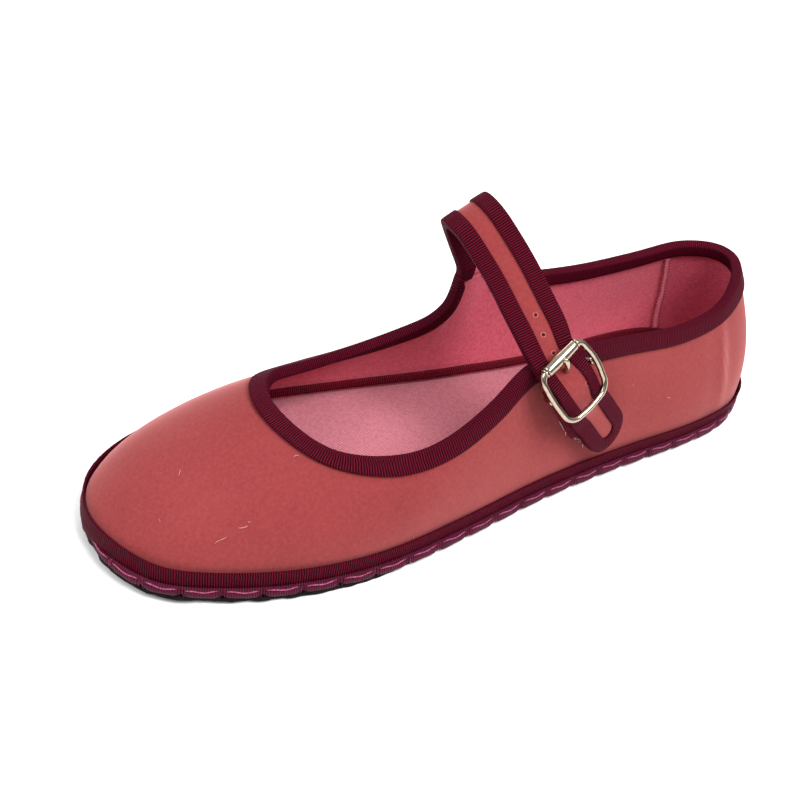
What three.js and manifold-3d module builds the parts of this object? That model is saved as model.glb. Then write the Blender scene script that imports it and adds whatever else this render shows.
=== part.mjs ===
// Left mary jane flat, in millimetres: a velvet upper on a thin rubber sole, taped edges, a buckled strap.
// While it is shaped, x runs from the back of the heel to the toe, y to the outer side, z up from the floor.
import * as THREE from 'three';
import Module from 'manifold-3d';

// Overall sizes
const length = 250;
const ballWidth = 82.5;
const collarHeight = 52;
const toeSpring = 3;
const springStart = 0.69;

// Thicknesses and clearances
const wall = 1.8;
const gap = 0.3;
const tape = 0.8;
const rubber = 1.8;
const stitchedEdge = 2.2;
const insoleThickness = 3.6;
const insoleRound = 0.9;
const insoleBevel = 0.36;
const rubberInset = 0.9;
const rubberRound = 0.6;
const weltReach = 0.9;

// Tape widths
const bandWidth = 4.6;
const bandExtraAtToe = 1.2;
const bindingOutside = 5.8;
const bindingInside = 5;
const insoleTapeWidth = 3.2;
const foldRound = 0.7; // share of a fold's thickness at its rounded corners

// Strap
const strapWidth = 16.9;
const strapHeight = 84;
const strapSheet = 1.6;
const strapInFrame = 15.8;
const strapPlay = 0.25;
const seamLength = 3.4;
const flareLength = 6;
const drawLength = 7;

// Buckle and its tab
const frameWidth = 20.4;
const frameLength = 22.2;
const frameWire = 2.1;
const rollerCorner = 2.6;
const frameCorner = 4.6;
const barWire = 1.9;
const barBendRadius = 1.4;
const barCorner = 0.3; // share of the bend
const rollerWall = 0.5;
const prongWire = 1.3;
const prongHole = 0.38; // share of the way from the centre bar to the roller
const prongRise = 0.7;
const frameRise = 5.8;
const tabTape = 0.8;
const tabWidth = 15.6;
const tabLength = 27;

// Turns, in degrees
const buckleLean = 30;
const buckleTip = 26;
const prongStart = 120;
const prongEnd = 45;

// Steps of the meshes
const stationStep = 5.4;
const wallSteps = 4;
const plateStations = 66;
const edgeSteps = 4;
const rungStep = 3.6;
const strapStrips = 3;
const tipSteps = 6;
const tipTurns = 10;
const tailSteps = 6;
const cornerSteps = 4;
const prongSteps = 8;
const loopSteps = 12;
const frameSides = 10;
const thinSides = 8;
const tubeSides = 14;
const halvings = 24;

const up = new THREE.Vector3(0, 0, 1);

// Plan of the sole, heel back to outer side to toe to inner side, as shares of length and ball width
const outlineRows = [
  { x: 0.000, y: 0.000 },
  { x: 0.020, y: 0.196 },
  { x: 0.072, y: 0.314 },
  { x: 0.160, y: 0.369 },
  { x: 0.300, y: 0.379 },
  { x: 0.440, y: 0.405 },
  { x: 0.580, y: 0.462 },
  { x: 0.700, y: 0.494 },
  { x: 0.800, y: 0.461 },
  { x: 0.888, y: 0.378 },
  { x: 0.963, y: 0.248 },
  { x: 1.000, y: -0.050 },
  { x: 0.979, y: -0.276 },
  { x: 0.907, y: -0.424 },
  { x: 0.820, y: -0.504 },
  { x: 0.720, y: -0.506 },
  { x: 0.600, y: -0.451 },
  { x: 0.440, y: -0.360 },
  { x: 0.300, y: -0.327 },
  { x: 0.160, y: -0.348 },
  { x: 0.072, y: -0.300 },
  { x: 0.020, y: -0.179 },
];

// Top edge of the wall, from behind the strap round the heel, the outer side and the throat to its front.
// at: row of the plan that the section stands on; x, y, z: shares of length, ball width and collar height;
// swell: share of ball width that the foot of the section bulges; rise, run, drop: shares that round it.
// Beside the strap, wide and lean are shares of its width: how far the edge and its section's bend shift.
const toplineRows = [
  {
    at: -4.87, x: 0.444, y: -0.306, z: 1.048, swell: 0.012, rise: 0.34, run: 0.10, drop: 0.16,
    wide: -0.50, lean: 0.34,
  },
  {
    at: -4.80, x: 0.438, y: -0.301, z: 0.994, swell: 0.012, rise: 0.34, run: 0.10, drop: 0.20,
    wide: -0.50, lean: 0.24,
  },
  {
    at: -4.70, x: 0.420, y: -0.295, z: 0.962, swell: 0.012, rise: 0.34, run: 0.14, drop: 0.28,
    wide: -0.40, lean: 0.12,
  },
  {
    at: -4.57, x: 0.387, y: -0.287, z: 0.948, swell: 0.012, rise: 0.34, run: 0.20, drop: 0.32,
    wide: -0.20, lean: 0.03,
  },
  { at: -4.40, x: 0.344, y: -0.277, z: 0.940, swell: 0.012, rise: 0.34, run: 0.28, drop: 0.34 },
  { at: -3.80, x: 0.266, y: -0.259, z: 0.927, swell: 0.017, rise: 0.34, run: 0.40, drop: 0.34 },
  { at: -3.10, x: 0.172, y: -0.245, z: 0.944, swell: 0.027, rise: 0.34, run: 0.50, drop: 0.34 },
  { at: -2.10, x: 0.090, y: -0.213, z: 0.994, swell: 0.041, rise: 0.34, run: 0.55, drop: 0.34 },
  { at: -1.15, x: 0.048, y: -0.124, z: 1.012, swell: 0.017, rise: 0.34, run: 0.82, drop: 0.34 },
  { at: -0.15, x: 0.040, y: -0.024, z: 0.998, swell: 0.015, rise: 0.34, run: 0.86, drop: 0.34 },
  { at: 0.90, x: 0.066, y: 0.080, z: 0.969, swell: 0.015, rise: 0.34, run: 0.82, drop: 0.34 },
  { at: 2.15, x: 0.127, y: 0.192, z: 0.906, swell: 0.029, rise: 0.34, run: 0.52, drop: 0.34 },
  { at: 3.30, x: 0.216, y: 0.242, z: 0.887, swell: 0.024, rise: 0.34, run: 0.45, drop: 0.34 },
  { at: 4.05, x: 0.308, y: 0.245, z: 0.923, swell: 0.017, rise: 0.34, run: 0.40, drop: 0.34 },
  { at: 4.65, x: 0.389, y: 0.258, z: 0.962, swell: 0.012, rise: 0.34, run: 0.36, drop: 0.34 },
  { at: 5.02, x: 0.440, y: 0.266, z: 0.978, swell: 0.012, rise: 0.34, run: 0.36, drop: 0.34 },
  { at: 5.27, x: 0.472, y: 0.279, z: 0.967, swell: 0.012, rise: 0.36, run: 0.36, drop: 0.34 },
  { at: 5.55, x: 0.503, y: 0.310, z: 0.925, swell: 0.012, rise: 0.38, run: 0.38, drop: 0.32 },
  { at: 5.90, x: 0.536, y: 0.344, z: 0.850, swell: 0.015, rise: 0.40, run: 0.40, drop: 0.30 },
  { at: 6.65, x: 0.601, y: 0.376, z: 0.737, swell: 0.019, rise: 0.44, run: 0.44, drop: 0.24 },
  { at: 7.75, x: 0.674, y: 0.341, z: 0.669, swell: 0.024, rise: 0.48, run: 0.46, drop: 0.16 },
  { at: 9.00, x: 0.732, y: 0.234, z: 0.658, swell: 0.024, rise: 0.54, run: 0.46, drop: 0.12 },
  { at: 10.20, x: 0.760, y: 0.085, z: 0.690, swell: 0.048, rise: 0.44, run: 0.34, drop: 0.16 },
  { at: 11.30, x: 0.770, y: -0.088, z: 0.725, swell: 0.048, rise: 0.44, run: 0.33, drop: 0.16 },
  { at: 12.70, x: 0.748, y: -0.225, z: 0.694, swell: 0.048, rise: 0.44, run: 0.32, drop: 0.16 },
  { at: 14.30, x: 0.680, y: -0.287, z: 0.633, swell: 0.048, rise: 0.42, run: 0.34, drop: 0.16 },
  { at: 15.50, x: 0.600, y: -0.303, z: 0.648, swell: 0.019, rise: 0.44, run: 0.42, drop: 0.24 },
  { at: 16.05, x: 0.536, y: -0.294, z: 0.706, swell: 0.015, rise: 0.40, run: 0.34, drop: 0.30 },
  {
    at: 16.30, x: 0.492, y: -0.286, z: 0.760, swell: 0.012, rise: 0.38, run: 0.26, drop: 0.32,
    wide: 0.12, lean: -0.12,
  },
  {
    at: 16.50, x: 0.459, y: -0.280, z: 0.840, swell: 0.012, rise: 0.36, run: 0.16, drop: 0.26,
    wide: 0.32, lean: -0.30,
  },
  {
    at: 16.63, x: 0.446, y: -0.280, z: 0.945, swell: 0.012, rise: 0.34, run: 0.12, drop: 0.18,
    wide: 0.42, lean: -0.42,
  },
  {
    at: 16.70, x: 0.443, y: -0.280, z: 1.048, swell: 0.012, rise: 0.34, run: 0.10, drop: 0.14,
    wide: 0.42, lean: -0.46,
  },
].map((row) => ({ wide: 0, lean: 0, ...row }));

// Rows between which the outer side is searched for the buckle's and the strap end's places
const quarterPlaces = [12, 20];

// Strap over the instep, as shares of length, ball width and strap height.
// tilt and turn: degrees that its width leans down and outwards towards the toe.
const strapRows = [
  { x: 0.454, y: -0.309, z: 0.810, tilt: 18, turn: 5 },
  { x: 0.470, y: -0.303, z: 0.906, tilt: 28, turn: -3 },
  { x: 0.487, y: -0.240, z: 0.975, tilt: 31, turn: -7 },
  { x: 0.487, y: -0.148, z: 0.975, tilt: 31, turn: -8 },
  { x: 0.478, y: -0.046, z: 0.912, tilt: 30, turn: -9 },
  { x: 0.471, y: 0.047, z: 0.849, tilt: 28, turn: -8 },
  { x: 0.466, y: 0.138, z: 0.782, tilt: 25, turn: -6 },
  { x: 0.460, y: 0.230, z: 0.712, tilt: 23, turn: -1 },
];

// Strap end on the outer side: shares of length and collar height,
// and its distance from the wall as a share of the frame's rise
const strapEndRows = [
  { x: 0.393, z: 0.610, off: 0.93 },
  { x: 0.368, z: 0.470, off: 0.74 },
  { x: 0.343, z: 0.350, off: 0.52 },
];

// Where the centre bar stands: shares of length and collar height
const buckleSeat = { x: 0.438, z: 0.871 };

// Smooth value of one column of a table at a place counted in rows
function column(rows, name, place) {
  const count = rows.length;
  const base = Math.min(Math.max(Math.floor(place), 0), count - 2);
  const part = place - base;
  const pick = (i) => rows[Math.min(Math.max(i, 0), count - 1)][name];
  const [a, b, c, d] = [pick(base - 1), pick(base), pick(base + 1), pick(base + 2)];
  const slopeB = (c - a) / 2;
  const slopeC = (d - b) / 2;
  const square = part * part;
  const cube = square * part;
  return (2 * cube - 3 * square + 1) * b + (cube - 2 * square + part) * slopeB
    + (3 * square - 2 * cube) * c + (cube - square) * slopeC;
}

// Height of the sole's underside above the floor
function lift(x) {
  const share = THREE.MathUtils.clamp((x / length - springStart) / (1 - springStart), 0, 1);
  return toeSpring * share * share;
}

// Plan of the sole at a place counted in rows, moved inwards, at a height above the sole's underside
const outlineCurve = new THREE.CatmullRomCurve3(
  outlineRows.map((row) => new THREE.Vector3(row.x * length, row.y * ballWidth, 0)), true, 'centripetal');

function outlineShare(place) {
  return THREE.MathUtils.euclideanModulo(place / outlineRows.length, 1);
}

function outlineOut(place) {
  const along = outlineCurve.getTangent(outlineShare(place));
  return new THREE.Vector3().crossVectors(up, along).normalize();
}

function outlinePoint(place, inset, height) {
  const point = outlineCurve.getPoint(outlineShare(place)).addScaledVector(outlineOut(place), -inset);
  point.z = height + lift(point.x);
  return point;
}

// Levels above the sole's underside
const edgeBottom = rubber + gap;
const edgeTop = edgeBottom + stitchedEdge;
const standing = edgeTop + gap;
const insoleTop = standing + insoleThickness;
const wallInset = weltReach + tape + gap;
const fold = gap + tape;

// The wall: a section stands on the plan at each place along its top edge.
// Places past the last row run along the seam where the strap is sewn on.
const toplineCurve = new THREE.CatmullRomCurve3(toplineRows.map((row) => new THREE.Vector3(
  row.x * length + row.wide * strapWidth, row.y * ballWidth, row.z * collarHeight)), false, 'centripetal');
const toplineLast = toplineRows.length - 1;
const placeCount = toplineLast + 1;
const seamFront = toplineCurve.getPoint(1);
const seamRear = toplineCurve.getPoint(0);

function section(place) {
  const seamShare = place - toplineLast;
  const onSeam = seamShare > 0;
  const value = (name, wrap) => {
    if (!onSeam) return column(toplineRows, name, place);
    return THREE.MathUtils.lerp(toplineRows[toplineLast][name], toplineRows[0][name] + wrap, seamShare);
  };
  const top = onSeam
    ? new THREE.Vector3().lerpVectors(seamFront, seamRear, seamShare)
    : toplineCurve.getPoint(place / toplineLast);
  const at = value('at', outlineRows.length);
  const foot = outlinePoint(at, wallInset, standing);
  const inward = new THREE.Vector3(top.x - foot.x, top.y - foot.y, 0);
  const height = top.z - foot.z;
  const low = foot.clone().addScaledVector(outlineOut(at), ballWidth * value('swell', 0));
  low.z += height * value('rise', 0);
  const high = top.clone().addScaledVector(inward, -value('run', 0));
  high.x += strapWidth * value('lean', 0);
  high.z -= height * value('drop', 0);
  return new THREE.CubicBezierCurve3(foot, low, high, top);
}

function wrapPlace(place) {
  return THREE.MathUtils.euclideanModulo(place, placeCount);
}

// Outward direction of the wall; at the foot it lies level, so that the foot stands flat
const footShare = 0.15;
const slopeStep = 0.04;
function wallNormal(place, share) {
  const at = (other) => section(wrapPlace(other)).getPoint(share);
  const along = at(place + slopeStep).sub(at(place - slopeStep));
  const rising = section(place).getPoint(Math.min(share + slopeStep, 1)).sub(
    section(place).getPoint(Math.max(share - slopeStep, 0)));
  const normal = rising.cross(along).normalize();
  normal.z *= Math.min(share / footShare, 1);
  return normal.normalize();
}

// Share of a section at which it reaches a height above the sole's underside
function shareAtHeight(place, height) {
  const curve = section(place);
  let low = 0;
  let high = 1;
  for (let i = 0; i < halvings; i += 1) {
    const middle = (low + high) / 2;
    const point = curve.getPoint(middle);
    if (point.z - lift(point.x) < height) low = middle;
    else high = middle;
  }
  return (low + high) / 2;
}

// Share of a section that lies a distance below the top edge, measured square to the edge
const lowestShare = 0.4;
function shareBelowTop(place, depth) {
  const curve = section(place);
  const top = curve.getPoint(1);
  const down = curve.getTangent(1).negate();
  const edge = toplineCurve.getTangent(THREE.MathUtils.clamp(place / toplineLast, 0, 1));
  const square = place > toplineLast ? 1 : edge.cross(down).length();
  let low = lowestShare;
  let high = 1;
  for (let i = 0; i < halvings; i += 1) {
    const middle = (low + high) / 2;
    if (curve.getPoint(middle).distanceTo(top) * square > depth) low = middle;
    else high = middle;
  }
  return (low + high) / 2;
}

function bandTop(x) {
  return standing + bandWidth + bandExtraAtToe * (x / length);
}

// Rows of the wall at one place: its foot, the band's top, even steps, the binding's lower edge and the top
const columns = new Map();
function wallColumn(place) {
  if (!columns.has(place)) {
    const first = shareAtHeight(place, bandTop(section(place).getPoint(0).x));
    const last = shareBelowTop(place, bindingOutside - fold);
    const shares = [0];
    for (let i = 0; i <= wallSteps; i += 1) shares.push(THREE.MathUtils.lerp(first, last, i / wallSteps));
    shares.push(1);
    const curve = section(place);
    columns.set(place, shares.map((share) => (
      { share, point: curve.getPoint(share), out: wallNormal(place, share) })));
  }
  return columns.get(place);
}

// Point on the wall's flat facets at one of its stations, moved out from its outer face
function onWall(place, share, offset) {
  const rows = wallColumn(place);
  let i = 0;
  while (i < rows.length - 2 && rows[i + 1].share < share) i += 1;
  const [a, b] = [rows[i], rows[i + 1]];
  const part = (share - a.share) / (b.share - a.share);
  const from = a.point.clone().addScaledVector(a.out, offset);
  const to = b.point.clone().addScaledVector(b.out, offset);
  return from.lerp(to, part);
}

// Places along the top edge, closer together where its rows are
const wallStations = [];
for (let row = 0; row < placeCount; row += 1) {
  const reach = section(row).getPoint(1).distanceTo(section(wrapPlace(row + 1)).getPoint(1));
  const pieces = Math.max(1, Math.round(reach / stationStep));
  for (let i = 0; i < pieces; i += 1) wallStations.push(row + i / pieces);
}

// Triangles that fill a closed ring of points, flat or nearly so
const nearlyLevel = 0.9;
function fill(ring) {
  const normal = new THREE.Vector3();
  ring.forEach((p, i) => normal.add(new THREE.Vector3().crossVectors(p, ring[(i + 1) % ring.length])));
  normal.normalize();
  const beside = Math.abs(normal.z) < nearlyLevel ? up : new THREE.Vector3(1, 0, 0);
  const side = new THREE.Vector3().crossVectors(normal, beside).normalize();
  const other = new THREE.Vector3().crossVectors(normal, side);
  const flat = ring.map((p) => new THREE.Vector2(p.dot(side), p.dot(other)));
  return THREE.ShapeUtils.triangulateShape(flat, []);
}

// Closed body through rings of points, each with as many points as the others.
// loop: the last ring joins the first; across: the end rings are filled from side to side.
function loft(rings, { loop = false, across = false } = {}) {
  const count = rings[0].length;
  const last = rings.length - 1;
  const index = [];
  for (let r = 0; r < (loop ? rings.length : last); r += 1) {
    const next = ((r + 1) % rings.length) * count;
    for (let i = 0; i < count; i += 1) {
      const j = (i + 1) % count;
      index.push(r * count + i, r * count + j, next + j, r * count + i, next + j, next + i);
    }
  }
  const cap = (triangles) => {
    for (const [a, b, c] of triangles) {
      index.push(a, c, b, last * count + a, last * count + b, last * count + c);
    }
  };
  if (across) {
    for (let i = 0; i < count / 2; i += 1) {
      const corners = [...new Set([i, i + 1, count - i - 1, (count - i) % count])];
      cap(corners.slice(2).map((c, k) => [corners[0], corners[k + 1], c]));
    }
  } else if (!loop) {
    const start = fill(rings[0]);
    const turned = windsWith(rings[0], start);
    const end = fill(rings[last]);
    const endTurned = windsWith(rings[last], end);
    for (const [a, b, c] of start) index.push(a, turned ? c : b, turned ? b : c);
    for (const [a, b, c] of end) {
      index.push(last * count + a, last * count + (endTurned ? b : c), last * count + (endTurned ? c : b));
    }
  }
  return facingOut(rings.flat(), index);
}

// Whether a filled ring's triangles run the way its points do
function windsWith(ring, triangles) {
  const area = (points) => {
    const sum = new THREE.Vector3();
    points.forEach((p, i) => sum.add(new THREE.Vector3().crossVectors(p, points[(i + 1) % points.length])));
    return sum;
  };
  const whole = area(ring);
  const filled = triangles.reduce((sum, t) => sum.add(area(t.map((i) => ring[i]))), new THREE.Vector3());
  return whole.dot(filled) > 0;
}

// Geometry of a closed body; its signed volume tells whether the faces have to be turned
function facingOut(points, index) {
  let volume = 0;
  for (let i = 0; i < index.length; i += 3) {
    const [a, b, c] = [points[index[i]], points[index[i + 1]], points[index[i + 2]]];
    volume += a.dot(new THREE.Vector3().crossVectors(b, c));
  }
  if (volume < 0) {
    for (let i = 0; i < index.length; i += 3) [index[i + 1], index[i + 2]] = [index[i + 2], index[i + 1]];
  }
  const geometry = new THREE.BufferGeometry();
  const positions = points.flatMap((p) => [p.x, p.y, p.z]);
  geometry.setAttribute('position', new THREE.Float32BufferAttribute(positions, 3));
  geometry.setIndex(index);
  return geometry;
}

// Round wire along a flat path; axis is square to the path's plane
function wire(path, axis, radius, sides, closed) {
  const count = path.length;
  const rings = path.map((point, i) => {
    const before = path[closed ? (i + count - 1) % count : Math.max(i - 1, 0)];
    const after = path[closed ? (i + 1) % count : Math.min(i + 1, count - 1)];
    const along = new THREE.Vector3().subVectors(after, before).normalize();
    const side = new THREE.Vector3().crossVectors(along, axis).normalize();
    const ring = [];
    for (let k = 0; k < sides; k += 1) {
      const angle = (k / sides) * 2 * Math.PI;
      ring.push(point.clone().addScaledVector(side, Math.cos(angle) * radius)
        .addScaledVector(axis, Math.sin(angle) * radius));
    }
    return ring;
  });
  return loft(rings, { loop: closed });
}

// Solid joining and cutting
const wasm = await Module();
wasm.setup();
function solid(geometry) {
  const vertProperties = geometry.getAttribute('position').array;
  const triVerts = Uint32Array.from(geometry.getIndex().array);
  return new wasm.Manifold(new wasm.Mesh({ numProp: 3, vertProperties, triVerts }));
}

function geometryOf(manifold) {
  const mesh = manifold.getMesh();
  const geometry = new THREE.BufferGeometry();
  geometry.setAttribute('position', new THREE.Float32BufferAttribute(mesh.vertProperties, 3));
  geometry.setIndex(Array.from(mesh.triVerts));
  return geometry;
}

// A plate under the foot: rings of the plan from its underside to its top
function plate(rings) {
  const rows = rings.map(({ inset, height }) => {
    const ring = [];
    for (let i = 0; i < plateStations; i += 1) {
      ring.push(outlinePoint((i / plateStations) * outlineRows.length, inset, height));
    }
    return ring;
  });
  return loft(rows, { across: true });
}

function outsole() {
  return plate([
    { inset: rubberInset + rubberRound, height: 0 },
    { inset: rubberInset, height: rubberRound },
    { inset: rubberInset, height: rubber - rubberRound / 2 },
    { inset: rubberInset + rubberRound / 2, height: rubber },
  ]);
}

function stitchedEdgePlate() {
  const half = stitchedEdge / 2;
  const rings = [];
  for (let i = 0; i <= edgeSteps; i += 1) {
    const angle = (i / edgeSteps) * Math.PI;
    rings.push({ inset: half * (1 - Math.sin(angle)), height: edgeBottom + half * (1 - Math.cos(angle)) });
  }
  return plate(rings);
}

function insole() {
  const inset = wallInset + wall + 2 * gap + insoleRound;
  return plate([
    { inset, height: standing },
    { inset, height: insoleTop - insoleRound },
    { inset: inset + insoleBevel, height: insoleTop },
  ]);
}

// The upper: one hollow wall, open at the throat and collar and underneath
function upper() {
  const rings = wallStations.map((place) => {
    const rows = wallColumn(place);
    const outer = rows.map((row) => row.point.clone());
    const inner = rows.map((row) => row.point.clone().addScaledVector(row.out, -wall)).reverse();
    return [...outer, ...inner];
  });
  return loft(rings, { loop: true });
}

// A tape that follows the wall all round, between two shares of its height
// and between two distances from its outer face
function wallTape(startOf, endOf, near, far) {
  const rings = wallStations.map((place) => {
    const at = (share, offset) => onWall(place, share, offset);
    const [start, end] = [startOf(place), endOf(place)];
    return [at(start, near), at(end, near), at(end, far), at(start, far)];
  });
  return loft(rings, { loop: true });
}

function lowerBand() {
  return wallTape(() => 0, (place) => wallColumn(place)[1].share, gap, fold);
}

function insoleTape() {
  const inside = (height) => (place) => {
    const out = wallNormal(place, shareAtHeight(place, height));
    return shareAtHeight(place, height + (wall + fold) * out.z);
  };
  const bottom = insoleTop + 2 * gap;
  return wallTape(inside(bottom), inside(bottom + insoleTapeWidth), -wall - fold, -wall - gap);
}

// Tape folded over an edge, cut across: place(depth, side, off) gives a point of the section
function foldedTape(place) {
  const outside = bindingOutside - fold;
  const inside = bindingInside - fold;
  const round = foldRound * fold;
  return [
    place(outside, 1, gap), place(-gap, 1, gap), place(-gap, -1, gap), place(inside, -1, gap),
    place(inside, -1, fold), place(0, -1, fold), place(-round, -1, round), place(-fold, 0, 0),
    place(-round, 1, round), place(0, 1, fold), place(outside, 1, fold),
  ];
}

function toplineBinding() {
  const places = wallStations.filter((place) => place <= toplineLast);
  const rings = places.map((place) => {
    const rows = wallColumn(place);
    const top = rows[rows.length - 1];
    const edge = toplineCurve.getTangent(place / toplineLast);
    const rise = section(place).getTangent(1);
    const away = rise.addScaledVector(edge, -rise.dot(edge)).normalize();
    return foldedTape((depth, side, off) => {
      const offset = side > 0 ? off : side < 0 ? -wall - off : -wall / 2;
      if (depth > 0) return onWall(place, shareBelowTop(place, depth), offset);
      return top.point.clone().addScaledVector(top.out, offset).addScaledVector(away, -depth);
    });
  });
  return loft(rings);
}

// Point and outward direction on the outer side of the wall, by x, z and distance from its outer face
function outerSide(x, z, offset) {
  let [near, far] = quarterPlaces;
  let share = 0;
  for (let i = 0; i < halvings; i += 1) {
    const middle = (near + far) / 2;
    share = shareAtHeight(middle, z - lift(x));
    if (section(middle).getPoint(share).x < x) near = middle;
    else far = middle;
  }
  const out = wallNormal(near, share);
  return { point: section(near).getPoint(share).addScaledVector(out, offset), out };
}

// The buckle's own directions and its centre bar, which stands off the wall by the prong's loop
const lean = THREE.MathUtils.degToRad(buckleLean);
const tip = THREE.MathUtils.degToRad(buckleTip);
const buckleDown = new THREE.Vector3(
  -Math.sin(lean), Math.cos(lean) * Math.sin(tip), -Math.cos(lean) * Math.cos(tip));
const buckleOut = new THREE.Vector3(0, Math.cos(tip), Math.sin(tip));
const buckleAcross = new THREE.Vector3().crossVectors(buckleDown, buckleOut);
const barRadius = barWire / 2;
const wireRadius = frameWire / 2;
const loopRadius = barRadius + gap + prongWire / 2;
const barCentre = outerSide(buckleSeat.x * length, buckleSeat.z * collarHeight,
  fold + gap + loopRadius + prongWire / 2).point;

function atBuckle(down, across, out) {
  return barCentre.clone().addScaledVector(buckleDown, down)
    .addScaledVector(buckleAcross, across).addScaledVector(buckleOut, out);
}

const frameHalfWidth = (frameWidth - frameWire) / 2;
const frameHalfLength = (frameLength - frameWire) / 2;
const rollerRadius = wireRadius + gap + rollerWall;
const tabRadius = barRadius + gap + tabTape;
const strapHalf = strapSheet / 2 + fold;
const strapUnderRoller = frameRise - rollerRadius - gap - strapPlay - strapHalf;
const strapOverBar = tabRadius + gap + strapHalf;
const strapUnderFrame = frameRise - wireRadius - gap - strapPlay - strapHalf;

// Middle line of the strap and the direction of its width, from the seam to the tip
const strapCore = strapWidth - 2 * fold;
const seamPlace = toplineLast + 0.5;
const seamTop = wallColumn(seamPlace).at(-1);
const seamMiddle = seamTop.point.clone().addScaledVector(seamTop.out, -wall / 2);
const seamAcross = new THREE.Vector3().subVectors(seamFront, seamRear);
const seamHalf = seamAcross.length() / 2;
seamAcross.normalize();
const seamRise = section(seamPlace).getTangent(1);
seamRise.addScaledVector(seamAcross, -seamRise.dot(seamAcross)).normalize();

function widthDirection(tilt, turn) {
  const [a, b] = [THREE.MathUtils.degToRad(tilt), THREE.MathUtils.degToRad(turn)];
  return new THREE.Vector3(Math.cos(a) * Math.cos(b), Math.cos(a) * Math.sin(b), -Math.sin(a));
}

const barPoint = atBuckle(0, 0, strapOverBar);
const strapPoints = [
  { point: seamMiddle.clone().addScaledVector(seamRise, gap), width: seamAcross },
  { point: seamMiddle.clone().addScaledVector(seamRise, gap + seamLength), width: seamAcross },
  ...strapRows.map((row) => ({
    point: new THREE.Vector3(row.x * length, row.y * ballWidth, row.z * strapHeight),
    width: widthDirection(row.tilt, row.turn),
  })),
  { point: atBuckle(-frameHalfLength, 0, strapUnderRoller), width: buckleAcross },
  { point: barPoint, width: buckleAcross },
  { point: atBuckle(frameHalfLength, 0, strapUnderFrame), width: buckleAcross },
  ...strapEndRows.map((row) => ({
    point: outerSide(row.x * length, row.z * collarHeight, row.off * frameRise).point,
    width: buckleAcross,
  })),
];
const strapCurve = new THREE.CatmullRomCurve3(strapPoints.map((row) => row.point), false, 'centripetal');

// Rungs of the strap: middle, width direction and outward direction, every few millimetres and round the tip
const tipRadius = strapCore / 2;
const strapSpan = strapCurve.getLength();
function strapFrame(run) {
  const share = Math.min(run / strapSpan, 1);
  const point = strapCurve.getPointAt(share);
  const along = strapCurve.getTangentAt(share);
  const row = strapCurve.getUtoTmapping(share) * (strapPoints.length - 1);
  const base = Math.min(Math.floor(row), strapPoints.length - 2);
  const ease = THREE.MathUtils.smoothstep(row - base, 0, 1);
  const width = strapPoints[base].width.clone().lerp(strapPoints[base + 1].width, ease);
  width.addScaledVector(along, -width.dot(along)).normalize();
  return { run, point, width, out: new THREE.Vector3().crossVectors(along, width).normalize() };
}
const rungRuns = [];
const straightSpan = strapSpan - tipRadius;
const straightSteps = Math.round(straightSpan / rungStep);
for (let i = 0; i <= straightSteps; i += 1) rungRuns.push((i / straightSteps) * straightSpan);
for (let i = 1; i < tipSteps; i += 1) {
  rungRuns.push(straightSpan + tipRadius * Math.sin((i / tipSteps) * Math.PI / 2));
}
const rungs = rungRuns.map(strapFrame);

// Run of the strap at which it crosses the centre bar
const barRun = rungs.reduce((best, rung) => (
  rung.point.distanceTo(barPoint) < best.point.distanceTo(barPoint) ? rung : best)).run;

// Half the strap's width: flared at the seam, drawn in between the buckle's sides, round at the tip
function strapHalfWidth(run) {
  const flare = (seamHalf - tipRadius) * Math.max(1 - run / flareLength, 0) ** 2;
  const apart = Math.abs(run - barRun) - frameHalfLength;
  const draw = 1 - THREE.MathUtils.smoothstep(apart, 0, drawLength);
  const past = Math.max(run - straightSpan, 0) / tipRadius;
  const round = Math.sqrt(Math.max(1 - past * past, 0));
  return (tipRadius + flare - draw * (strapWidth - strapInFrame) / 2) * round;
}

// Point of the strap by its run and its distances towards the toe and out, on the flats between rungs
function onStrap(run, side, off) {
  let i = 0;
  while (i < rungs.length - 2 && rungs[i + 1].run < run) i += 1;
  const [a, b] = [rungs[i], rungs[i + 1]];
  const at = (rung) => rung.point.clone().addScaledVector(rung.width, side).addScaledVector(rung.out, off);
  return at(a).lerp(at(b), (run - a.run) / (b.run - a.run));
}

// The prong: a loop round the centre bar and an arm up through the strap to the roller
const prongRadius = prongWire / 2;
function prongPath() {
  const reach = rollerRadius + gap + prongRadius;
  const start = THREE.MathUtils.degToRad(prongStart);
  const end = THREE.MathUtils.degToRad(prongEnd);
  return new THREE.CatmullRomCurve3([
    atBuckle(loopRadius * Math.cos(start), 0, loopRadius * Math.sin(start)),
    atBuckle(-prongHole * frameHalfLength, 0, (strapOverBar + strapUnderRoller) / 2 + prongRise),
    atBuckle(-frameHalfLength + reach * Math.cos(end), 0, frameRise + reach * Math.sin(end)),
  ]).getPoints(prongSteps);
}

function strap() {
  const rings = rungs.map(({ run }) => {
    const half = strapHalfWidth(run);
    const sides = [];
    for (let i = 0; i <= strapStrips; i += 1) sides.push(half * ((2 * i) / strapStrips - 1));
    const top = sides.map((side) => onStrap(run, side, strapSheet / 2));
    const under = sides.map((side) => onStrap(run, side, -strapSheet / 2)).reverse();
    return [...top, ...under];
  });
  const hole = wire(prongPath(), buckleAcross, prongRadius + gap, frameSides, false);
  return geometryOf(solid(loft(rings)).subtract(solid(hole)));
}

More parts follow.
